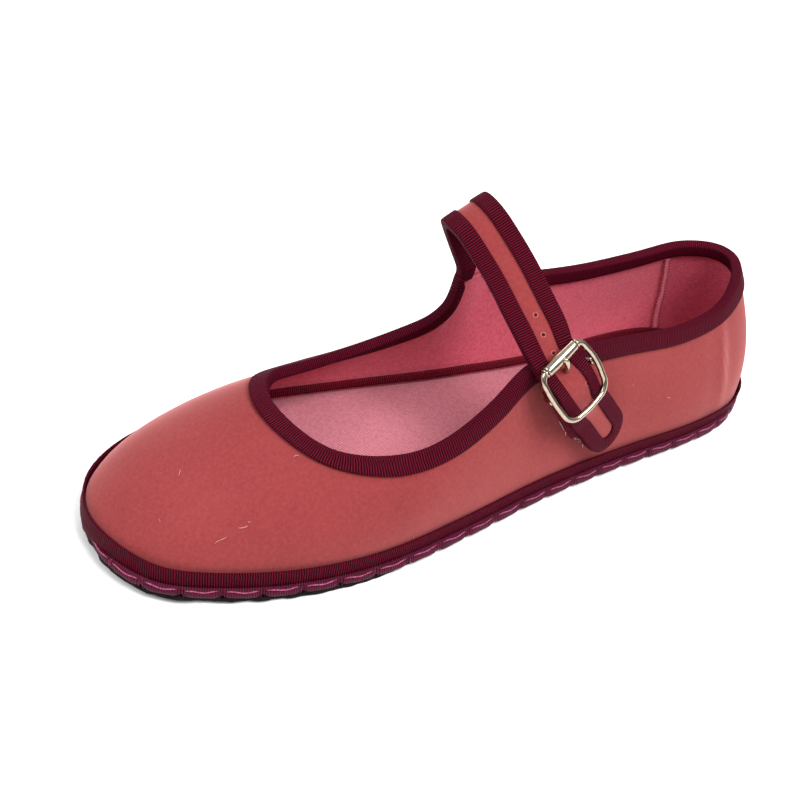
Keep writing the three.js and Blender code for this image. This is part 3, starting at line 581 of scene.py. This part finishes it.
def rim_run(piece):
    """The run map of a piece that follows the rim."""
    posts = [(rim.points[k], rim.runs[k]) for k in range(0, len(rim.points), 2)]
    run_of = {}
    for corner in piece.data.vertices:
        x, y = corner.co.x, corner.co.y
        k = min(range(len(posts)), key=lambda i: (posts[i][0].x - x) ** 2 + (posts[i][0].y - y) ** 2)
        post, run = posts[k]
        before, after = posts[k - 1][0], posts[(k + 1) % len(posts)][0]
        along = Vector((after.x - before.x, after.y - before.y, 0)).normalized()
        beyond = Vector((x - post.x, y - post.y, 0)).dot(along) / MM
        run_of[corner.index] = (run + beyond) % rim.length
    write_run(piece, run_of, rim.length)


# Upper: velvet outside, twill and knit linings inside

# Heel lining seam: height and x of its middle, in millimetres
HEEL_SEAM = ((7, -107.2), (12.5, -106.4), (28, -104.0), (37, -101.3), (48, -97.0))


def heel_seam_x(height):
    for (low, a), (high, b) in zip(HEEL_SEAM, HEEL_SEAM[1:]):
        if height <= high:
            return a + (b - a) * max(height - low, 0) / (high - low)
    return HEEL_SEAM[-1][1]


def on_outer_heel(co):
    return co.y > 10 * MM and co.x < -85 * MM


def beside_crease(co, middle, width, low, tall):
    """How many widths a corner lies before the slanting crease of the heel, and its fade up the wall."""
    lean = 0.08
    x, z = co.x / MM, co.z / MM
    off = (x - middle + lean * (26 - z)) / width
    return off, math.sin(math.pi * min(max((z - low) / tall, 0), 1))


def make_upper():
    piece = copy_of("upper", "velvet_upper")
    swell_toe(piece)
    rim_run(piece)
    rounded(piece)
    # Cloth never lies quite true: low swells all over, a standing crease and a faint hollow beside the heel
    swell, swells_per_metre, crease, hollow = 0.3, 38.0, 0.45, 0.35
    swells = [corner.normal * swell * MM * noise.noise(corner.co * swells_per_metre)
              for corner in piece.data.vertices]
    for corner, out in zip(piece.data.vertices, swells):
        co = corner.co
        co += out
        if on_outer_heel(co):
            off, fade = beside_crease(co, middle=-96.5, width=2.2, low=6, tall=40)
            co.y += crease * MM * math.exp(-off * off) * fade
            co.y -= hollow * MM * math.exp(-((off - 3.0) / 1.6) ** 2) * fade
    dress(piece, "velvet", [VELVET, LINING_TWILL, COUNTER_KNIT], "upper")
    for face in piece.data.polygons:
        middle = face.center
        # A face that looks at the middle of the shoe is lining: knit behind the heel seam, twill before it
        heart = Vector((min(max(middle.x, -95 * MM), 85 * MM), 0.0, 18 * MM))
        if face.normal.dot(middle - heart) < 0:
            face.material_index = 2 if middle.x / MM < heel_seam_x(middle.z / MM) else 1
    # Paler pile along the heel crease: partly rubbed, partly a painted sheen highlight where the fold catches
    # the light.
    rubbed_and_sheen = piece.data.attributes.new("rubbed_and_sheen", "FLOAT", "POINT")
    for corner in piece.data.vertices:
        if on_outer_heel(corner.co):
            off, fade = beside_crease(corner.co, middle=-96.3, width=1.3, low=8, tall=38)
            rubbed_and_sheen.data[corner.index].value = 0.5 * math.exp(-off * off) * fade
    return piece


upper_wall = wall_of(make_upper())


# Tapes

def inside_lift(x):
    """Millimetres by which the foot bed and its tape lie above the solids: less behind, more before."""
    behind = max(0.0, min((-x / MM - 20) / 60, 1.0))
    before = max(x, 0) / (100 * MM)
    return 0.9 - 2.6 * behind + 0.5 * before


def rim_tape(node, name, material, inside=False):
    piece = copy_of(node, name)
    if inside:
        for corner in piece.data.vertices:
            corner.co.z += inside_lift(corner.co.x) * MM
    else:
        swell_toe(piece)
    rim_run(piece)
    rounded(piece)
    return dress(piece, "ribbed_tape", [material], node)


rim_tape("lower_band", "grosgrain_lower_band", TAPE)
rim_tape("insole_tape", "grosgrain_insole_tape", INSIDE_TAPE, inside=True)


def make_topline():
    """Tape round the throat and collar, open on the inner side, where the strap stands between its ends."""
    piece = copy_of("topline_binding", "grosgrain_topline")
    behind_strap = [v.co for v in piece.data.vertices if v.co.y < 0 and -30 * MM < v.co.x < -12 * MM]
    rings = rings_from(piece, max(behind_strap, key=lambda co: co.z).copy())
    lengthened(piece, rings, 1.0)
    run_along(piece, rings)
    rounded(piece)
    return dress(piece, "ribbed_tape", [TAPE], "topline_binding")


make_topline()


def make_insole():
    """Thin foot bed, slightly crowned, its rim tucked under the tape; the cloth's lines run slantwise."""
    crown, slope, tuck = 1.0, 15, 0.7
    piece = copy_of("insole", "twill_foot_bed")
    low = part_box("insole")[0][2]
    mesh_work(piece, ("subdivide", {"number_cuts": 1}))
    for corner in piece.data.vertices:
        point, away = rim.at(rim_near(corner.co))
        deep = (point - corner.co).dot(away) / MM
        if corner.co.z - low > 2 * MM:
            corner.co.z += (inside_lift(corner.co.x) + crown * min(max(deep - 5, 0) / slope, 1)) * MM
            if deep < 6:
                corner.co += away * tuck * MM
    flat_run(piece, up=1)
    rounded(piece, levels=1, sharp=70)
    dress(piece, "insole_cloth", [INSOLE_TWILL], "insole")
    return piece


def rim_near(co):
    """Run of the point of the rim that lies nearest to a corner."""
    def away(k):
        return (rim.points[k].x - co.x) ** 2 + (rim.points[k].y - co.y) ** 2
    return rim.runs[min(range(0, len(rim.points), 2), key=away)]


make_insole()


# Strap

def make_strap():
    piece = copy_of("strap", "velvet_strap")
    rounded(piece)
    # The velvet swells to the level of the tapes between them
    swell = 0.45
    moved = [corner.co + corner.normal * swell * MM for corner in piece.data.vertices]
    for corner, co in zip(piece.data.vertices, moved):
        corner.co = co
    flat_run(piece)
    dress(piece, "velvet", [VELVET, LINING_TWILL], "strap")
    instep = Vector((-12, 4, 40)) * MM
    for face in piece.data.polygons:
        if face.normal.dot(face.center - instep) < 0:
            face.material_index = 1
    return piece


strap_wall = wall_of(make_strap())


def make_strap_edge():
    """Tape down one edge of the strap, round its tip and up the other, both ends at its inner foot."""
    piece = copy_of("strap_binding", "grosgrain_strap_edge")
    rear_foot = [v.co for v in piece.data.vertices if v.co.y < -18 * MM and v.co.x < -13 * MM]
    rings = rings_from(piece, min(rear_foot, key=lambda co: co.z).copy())
    lengthened(piece, rings, 2.2)
    middles = [middle_of(piece, ring) for ring in rings]
    near = 6
    for k, ring in enumerate(rings):
        # Its inner edge lies further over the velvet, towards the tape's other arm, but less at the roller
        ahead = (middles[min(k + 1, len(rings) - 1)] - middles[max(k - 1, 0)]).normalized()
        others = [m for j, m in enumerate(middles) if abs(j - k) > near]
        towards = min(others, key=lambda m: (m - middles[k]).length) - middles[k]
        towards = (towards - ahead * towards.dot(ahead)).normalized()
        for i in ring:
            co = piece.data.vertices[i].co
            if (co - middles[k]).dot(towards) > 1 * MM:
                at_roller = math.exp(-((co.z / MM - 48) / 7) ** 2)
                co += towards * (0.7 - 1.7 * at_roller) * MM
    run_along(piece, rings)
    rounded(piece)
    return dress(piece, "ribbed_tape", [TAPE], "strap_binding")


make_strap_edge()


# Sole: rubber, cloth edge and its thread

sole = copy_of("outsole", "rubber_outsole")
rounded(sole)
dress(sole, "sole_rubber", [RUBBER], "outsole")

# About how much of the rim one stitch and its wraps take, in millimetres
STITCH_PITCH = 11.4
stitch_count = round(rim.length / STITCH_PITCH)
pitch = rim.length / stitch_count


def pinch(run):
    """How much the cloth is drawn in by the nearest wrap of thread, 0 to 1."""
    reach = 1.1
    off = (run / pitch + 0.5) % 1.0 - 0.5
    return math.exp(-(off * pitch / reach) ** 2)


def uneven(run, seed, size=9.0):
    """Slow unevenness along the rim, -1 to 1, the same at both ends of the closed line."""
    angle = 2 * math.pi * run / rim.length
    turn = rim.length / (2 * math.pi * size)
    return noise.noise(Vector((math.cos(angle) * turn, math.sin(angle) * turn, seed)))


def tucked(run):
    """Millimetres by which the edge lies further in, round the inner toe and the heel."""
    x, y, _ = rim.at(run)[0] / MM
    return 1.1 * rise(x, 95, 115) * rise(y, 12, -2) + 1.3 * rise(x, -95, -113)


# Each section is a closed line, out from the rim and up from the underside of the sole, in millimetres
RUBBER_SECTION = ((-5.0, 0.05), (0.0, 0.0), (0.35, 0.35), (0.3, 0.95), (-0.2, 1.45), (-5.0, 1.5),
                  (-5.0, 0.05))
CLOTH_SECTION = ((-4.0, 1.7), (-1.6, 1.25), (-0.4, 1.45), (0.35, 2.1), (0.62, 2.95), (0.45, 3.8),
                 (-0.1, 4.4), (-0.9, 4.75), (-4.0, 4.4), (-4.0, 1.7))


def make_rubber_rim():
    """The cut edge of the rubber, standing out unevenly below the cloth, further round the toe."""
    def place(along, across):
        run = along * rim.length
        out, up = RUBBER_SECTION[round(across * (len(RUBBER_SECTION) - 1))]
        torn = 0.5 + 0.9 * uneven(run, 4.0, 5.0) + 0.5 * uneven(run, 9.0, 2.2)
        toe = rise(rim.at(run)[0].x / MM, 30, 60)
        if out > -4:
            out += toe * (1.0 + 0.5 * min(max(torn, -0.4), 1.2)) - 1.3 - tucked(run)
        return rim.place(run, out, up)

    columns = 620
    piece = swept("rubber_rim", columns, len(RUBBER_SECTION) - 1, place)
    return dress(piece, "sole_rubber", [RUBBER])


def make_edge_cloth():
    """Ribbed cloth folded over the edge: it bulges between the wraps of thread and is drawn in by them."""
    def place(along, across):
        run = along * rim.length
        out, up = CLOTH_SECTION[round(across * (len(CLOTH_SECTION) - 1))]
        drawn = pinch(run)
        sag = 0.5 + 0.5 * uneven(run, 2.0, 6.0)
        low = 1 - rise(rim.at(run)[0].x / MM, 30, 60)
        if out > -2:
            out += 0.25 * sag - 0.75 * drawn - tucked(run)
            if up < 3:
                up += 0.35 * drawn - 0.3 * sag - 0.5 * low
        return rim.place(run, out, up)

    columns = 900
    piece = swept("grosgrain_edge_cloth", columns, len(CLOTH_SECTION) - 1, place)
    rim_run(piece)
    return dress(piece, "edge_cloth", [EDGE_CLOTH], "stitched_edge")


def strand(name, path, radius):
    """A round thread through a few points in millimetres, thinner at its ends."""
    shares = [1.0] * len(path)
    shares[0] = shares[-1] = 0.35
    return wire(name, [point * MM for point in path], radius, shares, rounding=1)


def laid(template, name, placements):
    """Copies of one piece, each with its corners moved by its own placement, joined to one."""
    copies = []
    for place in placements:
        other = bpy.data.objects.new(name, template.data.copy())
        bpy.context.scene.collection.objects.link(other)
        for corner in other.data.vertices:
            corner.co = place(corner.co / MM)
        copies.append(other)
    bpy.data.objects.remove(template)
    return joined(copies, name)


def make_edge_thread():
    """Thread sewn over the edge: a long stitch under the band, then two wraps down round the edge."""
    gap = 2.4
    length = pitch - gap
    long_path = []
    for i in range(8):
        t = i / 7
        bow = 0.28 * math.sin(math.pi * t)
        wave = 0.22 * math.sin(2.6 * math.pi * t)
        long_path.append(Vector((length * t - length / 2, bow, wave)))
    # Out from the rim and up from the underside of the sole, from under the band down round the edge
    wrap_section = ((-0.55, 4.85), (0.0, 4.5), (0.42, 3.7), (0.5, 2.8), (0.25, 1.9), (-0.35, 1.35),
                    (-1.2, 1.2))
    wrap_path = [Vector((0, out, up)) for out, up in wrap_section]
    stitch = strand("long_stitch", long_path, radius=0.2)
    wrap = strand("wrap", wrap_path, radius=0.22)

    def long_place(k):
        slope = 0.25 * math.sin(k * 2.3)
        drop = 0.2 * math.sin(k * 1.7)
        middle = (k + 0.5) * pitch
        return lambda co: rim.place(middle + co.x, 0.3 - tucked(middle + co.x) + co.y,
                                    4.5 + drop * 0.5 + co.z + slope * co.x / length)

    def wrap_place(k, side):
        lean = 0.35 + 0.25 * math.sin(k * 3.1 + side)
        return lambda co: rim.place(
            k * pitch + side * (0.55 + 0.12 * math.sin(k * 5.0)) + side * lean * (3 - co.z) * 0.4,
            co.y - 0.05 - tucked(k * pitch), co.z)

    stitches = laid(stitch, "edge_long_stitches", [long_place(k) for k in range(stitch_count)])
    wraps = laid(wrap, "edge_wraps", [wrap_place(k, side) for k in range(stitch_count) for side in (-1, 1)])
    return dress(joined([stitches, wraps], "edge_thread"), "edge_cloth", [EDGE_THREAD])


make_rubber_rim()
make_edge_cloth()
make_edge_thread()


# Heel lining seams: a narrow raised tape with a row of stitches along each edge

def on_inner_wall(x, height, side):
    """Point of the lining and the direction into the shoe, at an x and a height on one side."""
    start = Vector((x, 0.0, height)) * MM
    point, normal, _, _ = upper_wall.ray_cast(start, Y * side)
    if point is None:
        point, normal, _, _ = upper_wall.find_nearest(Vector((x, side * 20, height)) * MM)
    if normal.dot(start - point) < 0:
        normal = -normal
    return point, normal


def seam_line(side, offset):
    """Points up the lining beside the seam's middle, one for each millimetre of height."""
    low, high = 10, 47
    return [on_inner_wall(heel_seam_x(height) + offset, height, side) for height in range(low, high)]


def make_heel_seam(side, name):
    width, thickness = 3.0, 0.3
    front = seam_line(side, width / 2)
    back = seam_line(side, -width / 2)
    count = len(front) - 1
    arch = (0.0, 0.55, 0.65, 0.65, 0.55, 0.0)

    def place(along, across):
        k = round(along * count)
        row = round(across * (len(arch) - 1))
        point = front[k][0].lerp(back[k][0], row / (len(arch) - 1))
        return point + (front[k][1] + back[k][1]).normalized() * (arch[row] - 0.05) * MM

    tape = swept(name, count, len(arch) - 1, place)
    flat_run(tape)
    apply_modifier(tape, "SOLIDIFY", thickness=thickness * MM, offset=-1.0)
    dress(tape, "velvet", [SEAM_TAPE])
    stitch_length, stitch_step, inset, proud = 0.95, 1.45, 0.45, 0.6
    path = [Vector((stitch_length * (t - 0.5), 0, 0.22 * math.sin(math.pi * t)))
            for t in (0, 0.25, 0.5, 0.75, 1)]
    places = []
    for line, inward in ((front, inset), (back, -inset)):
        k = 0.0
        while k < count - 1:
            low = int(k)
            point = line[low][0].lerp(line[low + 1][0], k - low)
            normal = line[low][1]
            along = (line[low + 1][0] - line[low][0]).normalized()
            across = along.cross(normal)
            towards_back = (back[low][0] - front[low][0]).normalized()
            base = point + towards_back * inward * MM + normal * proud * MM

            def place_stitch(co, base=base, along=along, across=across, normal=normal):
                return base + (along * co.x + across * co.y + normal * co.z) * MM
            places.append(place_stitch)
            k += stitch_step
    stitches = laid(strand("lining_stitch", path, radius=0.27), name + "_stitches", places)
    return dress(stitches, "velvet", [LINING_THREAD])


make_heel_seam(-1, "inner_heel_seam")
make_heel_seam(1, "outer_heel_seam")


# Buckle: rounded frame of wire, centre bar, roller and prong, in pale gold

# Directions down the strap towards its tip, out from the shoe and across towards the toe
DOWN = Vector((-0.5, 0.3796, -0.7784))
OUT = Vector((0, 0.8988, 0.4384))
ACROSS = DOWN.cross(OUT)
ROLLER = (Vector(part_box("buckle_roller")[0]) + Vector(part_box("buckle_roller")[1])) / 2
# The frame's half sizes to the middle of its wire, and that wire's height over the bar, in millimetres
HALF_LENGTH, HALF_WIDTH, RISE = 10.05, 9.15, 5.8


def at_buckle(down, across, out):
    """Point by millimetres down from the centre bar, across to the toe side, and out."""
    return ROLLER + (DOWN * (down + HALF_LENGTH) + ACROSS * across + OUT * (out - RISE)) * MM


def make_frame():
    # Each round corner: down, across, its radius, and how far the side after it bows out
    corners = ((-1, 1, 3.2, 0.0), (-1, -1, 3.2, 0.8), (1, -1, 4.8, 0.35), (1, 1, 4.8, 0.3))
    arc_points = 9
    points = []
    for k, (down, across, radius, _) in enumerate(corners):
        for i in range(arc_points):
            angle = (k + 1 + i / (arc_points - 1)) * math.pi / 2
            points.append(Vector((down * (HALF_LENGTH - radius) + radius * math.cos(angle),
                                  across * (HALF_WIDTH - radius) + radius * math.sin(angle))))
    sides = []
    for k, point in enumerate(points):
        sides.append(point)
        if k % arc_points == arc_points - 1:
            following = points[(k + 1) % len(points)]
            outward = (point + following).normalized()
            bow = corners[k // arc_points][3]
            for share in (0.2, 0.4, 0.6, 0.8):
                sides.append(point.lerp(following, share) + outward * bow * 4 * share * (1 - share))
    ring = wire("frame_wire", [at_buckle(point.x, point.y, RISE) for point in sides],
                radius=0.98, closed=True)
    # Half of the centre bar from its end at the frame: across and out
    half = ((9.3, 4.9), (9.3, 3.6), (9.1, 1.9), (8.75, 0.8), (8.0, 0.2), (7.0, 0.0), (3.0, 0.0))
    bar_points = [at_buckle(0, across, out) for across, out in half]
    bar_points += [at_buckle(0, -across, out) for across, out in reversed(half)]
    bar = wire("frame_bar", bar_points, radius=0.95)
    return dress(joined([ring, bar], "buckle_wire_frame"), "buckle_metal", [METAL], "buckle_frame")


def make_roller():
    """Rolled tube on the frame's upper bar, swelling to its middle, with a round collar at each end."""
    # Along the roller, and its radius there
    profile = ((-6.3, 1.3), (-6.35, 1.5), (-6.2, 1.7), (-5.8, 1.78), (-4.0, 1.88), (-2.0, 1.97), (0.0, 2.0),
               (2.0, 1.97), (4.0, 1.88), (5.8, 1.78), (6.2, 1.7), (6.35, 1.5), (6.3, 1.3), (-6.3, 1.3))
    sides = 32
    collar_at = 6.85

    def place(along, across):
        row = round(across * (len(profile) - 1))
        length, radius = profile[row]
        angle = along * 2 * math.pi
        return ROLLER + (ACROSS * length + (DOWN * math.cos(angle) + OUT * math.sin(angle)) * radius) * MM

    piece = swept("buckle_roller_tube", sides, len(profile) - 1, place)
    collars = []
    for side in (-1, 1):
        deselect()
        bpy.ops.mesh.primitive_torus_add(major_radius=1.25 * MM, minor_radius=0.42 * MM,
                                         major_segments=24, minor_segments=10)
        collar = bpy.context.object
        turn = Matrix((DOWN, OUT, ACROSS)).transposed().to_4x4()
        collar.matrix_world = Matrix.Translation(ROLLER + ACROSS * side * collar_at * MM) @ turn
        collars.append(settled(collar, "collar"))
    return dress(joined([piece] + collars, "buckle_roller_tube"), "buckle_metal", [METAL], "buckle_roller")


def make_prong():
    """Tapered prong: a loop on the centre bar, an arm up through the strap and on to the roller."""
    loop_radius, steps = 1.9, 12
    loop = []
    for i in range(steps):
        angle = i / steps * 2 * math.pi
        loop.append(at_buckle(loop_radius * math.cos(angle), 0, loop_radius * math.sin(angle)))
    ring = wire("prong_loop", loop, radius=0.65, closed=True)
    # Down from the centre bar and out, with each point's share of the arm's radius below
    path = ((-1.2, 1.5), (-2.4, 2.2), (-3.6, 3.0), (-4.4, 3.9), (-4.9, 5.0), (-5.8, 6.1), (-6.9, 7.0),
            (-8.1, 7.7), (-9.3, 8.2), (-10.2, 8.4), (-10.7, 8.4))
    shares = [0.71, 0.76, 0.85, 0.92, 0.98, 1.0, 1.0, 0.98, 0.93, 0.82, 0.38]
    arm = wire("prong_arm", [at_buckle(down, 0, out) for down, out in path],
               radius=0.92, shares=shares)
    return dress(joined([ring, arm], "buckle_tongue"), "buckle_metal", [METAL], "buckle_prong")


make_frame()
make_roller()
make_prong()


# Tab that holds the buckle: tape with a frayed end

def make_tab():
    piece = copy_of("buckle_tab", "grosgrain_tab")
    run_of = {v.index: (v.co - ROLLER).dot(DOWN) / MM for v in piece.data.vertices}
    write_run(piece, run_of)
    rounded(piece, levels=1, sharp=50)
    dress(piece, "ribbed_tape", [INSIDE_TAPE], "buckle_tab")
    return piece


make_tab()


# Holes of the strap, frayed threads of the tab, lint on the pile

# Middles of the holes down the strap, in millimetres
HOLES = ((-9.2, 15.9, 63.9), (-9.6, 20.8, 59.8), (-11.0, 25.5, 55.9), (-20.9, 32.6, 46.9))


def make_holes():
    """Punched holes: a pressed pale ring of pile round a flat dark disc of painted shade, since the strap
    itself is not cut.
    """
    sunk, flat = 0.14, 0.16
    rings, pits = [], []
    for place in HOLES:
        point, normal, _, _ = strap_wall.find_nearest(Vector(place) * MM)
        turn = normal.to_track_quat("Z", "Y").to_matrix().to_4x4()
        deselect()
        bpy.ops.mesh.primitive_torus_add(major_radius=0.72 * MM, minor_radius=0.24 * MM,
                                         major_segments=20, minor_segments=8)
        ring = bpy.context.object
        ring.matrix_world = Matrix.Translation(point - normal * sunk * MM) @ turn
        rings.append(settled(ring, "ring"))
        deselect()
        bpy.ops.mesh.primitive_uv_sphere_add(segments=16, ring_count=8, radius=0.55 * MM)
        pit = bpy.context.object
        pit.scale = (1.0, 1.0, flat)
        bpy.ops.object.transform_apply(location=False, rotation=False, scale=True)
        pit.matrix_world = Matrix.Translation(point) @ turn
        pits.append(settled(pit, "pit"))
    dress(joined(rings, "strap_hole_rims"), "velvet", [PRESSED_PILE])
    # The pits are discs of painted shade, not holes cut through the strap.
    dress(joined(pits, "strap_hole_painted_shade"), "velvet", [HOLE_SHADE])


make_holes()


def loose_threads(name, material, slot, radius, marks):
    """Short curved threads lying on the upper: place, direction and length in millimetres of each."""
    bow = 0.22
    threads = []
    for k, (place, along, length) in enumerate(marks):
        along = Vector(along).normalized()
        path = []
        for i in range(7):
            t = i / 6 - 0.5
            point = Vector(place) + along * length * t
            point += along.cross(Z).normalized() * bow * length * math.sin(2.4 * t + k)
            on, normal, _, _ = upper_wall.find_nearest(point * MM)
            lift = 0.35 + 0.25 * math.sin(3 * t + 2 * k)
            path.append(on / MM + normal * (1 if normal.dot(Vector(place)) > 0 else -1) * lift)
        threads.append(strand("thread", path, radius))
    return dress(joined(threads, name), slot, [material])


# Lint of 0.03 mm is drawn 0.15 mm thick to show. Of each thread here: its middle, direction and length in mm
LINT_PLACES = (
    ((95.6, 26.0, 20.1), (-0.6, 0.1, 0.8), 4.2), ((88.9, 26.1, 23.0), (-0.7, 0.2, 0.4), 3.0),
    ((86.9, 26.2, 23.9), (0.2, 0.4, 0.7), 2.2), ((39.6, 39.3, 10.7), (0.5, 0.0, 0.9), 1.4),
    ((-50.0, 25.6, 32.2), (0.3, 0.0, 1.0), 1.3), ((-66.9, 28.0, 23.8), (0.8, 0.1, 0.4), 1.6),
    ((101.0, 4.0, 33.0), (0.2, 0.9, 0.1), 2.4), ((70.0, 18.0, 41.0), (0.9, 0.3, 0.1), 1.8),
    ((110.0, 14.0, 24.0), (0.5, 0.5, 0.5), 1.6))
FRAY_PLACES = (
    ((-19.6, 32.3, 28.0), (-0.6, 0.1, -0.8), 4.5), ((-21.6, 32.3, 25.5), (-0.2, 0.1, -0.9), 3.4),
    ((-23.4, 32.3, 23.6), (-0.7, 0.2, -0.6), 4.0), ((-25.2, 32.0, 21.8), (-0.4, 0.1, -1.0), 3.0),
    ((-27.0, 32.0, 20.2), (-0.8, 0.1, -0.6), 3.6), ((-28.6, 31.6, 18.6), (-0.9, 0.1, -0.2), 3.2),
    ((-29.8, 31.4, 17.4), (-0.1, 0.1, -0.9), 2.6))
loose_threads("lint", LINT, "velvet", radius=0.075, marks=LINT_PLACES)
loose_threads("frayed_tab_threads", PALE_THREAD, "ribbed_tape", radius=0.1, marks=FRAY_PLACES)


# Floor and light

def studio():
    deselect()
    bpy.ops.mesh.primitive_plane_add(size=6.0, location=(0, 0, 0))
    floor = settled(bpy.context.object, "pale_floor")
    material, tree, shader, place = surface("matt_white_paper", Roughness=0.95, Specular_IOR_Level=0.05)
    tooth = put(tree, "ShaderNodeTexNoise", {"Scale": every(3.333)}, {"Vector": place})
    colour = put(tree, "ShaderNodeValToRGB", links={"Fac": tooth.outputs["Fac"]},
                 stops=[(0.3, "#f6f5f4"), (0.7, "#fafaf9")])
    tree.links.new(colour.outputs["Color"], shader.inputs["Base Color"])
    floor.data.materials.append(material)

    world = bpy.data.worlds.new("soft_white_room")
    bpy.context.scene.world = world
    world.use_nodes = True
    tree = world.node_tree
    background = tree.nodes["Background"]
    background.inputs["Strength"].default_value = 1.0
    # Bright ceiling, dim walls: the metal shows dark bands between its lights
    view = put(tree, "ShaderNodeTexCoord").outputs["Generated"]
    sky = put(tree, "ShaderNodeSeparateXYZ", links={"Vector": view})
    walls = put(tree, "ShaderNodeValToRGB", links={"Fac": sky.outputs["Z"]},
                stops=[(0.0, "#84827f"), (0.2, "#8c8a88"), (0.4, "#b4b3b2"), (0.8, "#dcdcdc")])
    tree.links.new(walls.outputs["Color"], background.inputs["Color"])

    for name, place, size, power in (
            ("key_softbox", (-0.15, 0.55, 0.92), 0.55, 14.0),
            ("fill_softbox", (0.75, -0.15, 0.62), 0.60, 4.5),
            ("back_softbox", (-0.20, -0.80, 0.60), 0.60, 3.0)):
        lamp = bpy.data.lights.new(name, "AREA")
        lamp.shape = "SQUARE"
        lamp.size = size
        lamp.energy = power
        holder = bpy.data.objects.new(name, lamp)
        holder.location = place
        holder.rotation_euler = (Z * 0.02 - Vector(place)).to_track_quat("-Z", "Y").to_euler()
        bpy.context.scene.collection.objects.link(holder)
    bpy.context.scene.view_settings.view_transform = "Standard"


studio()

deselect()
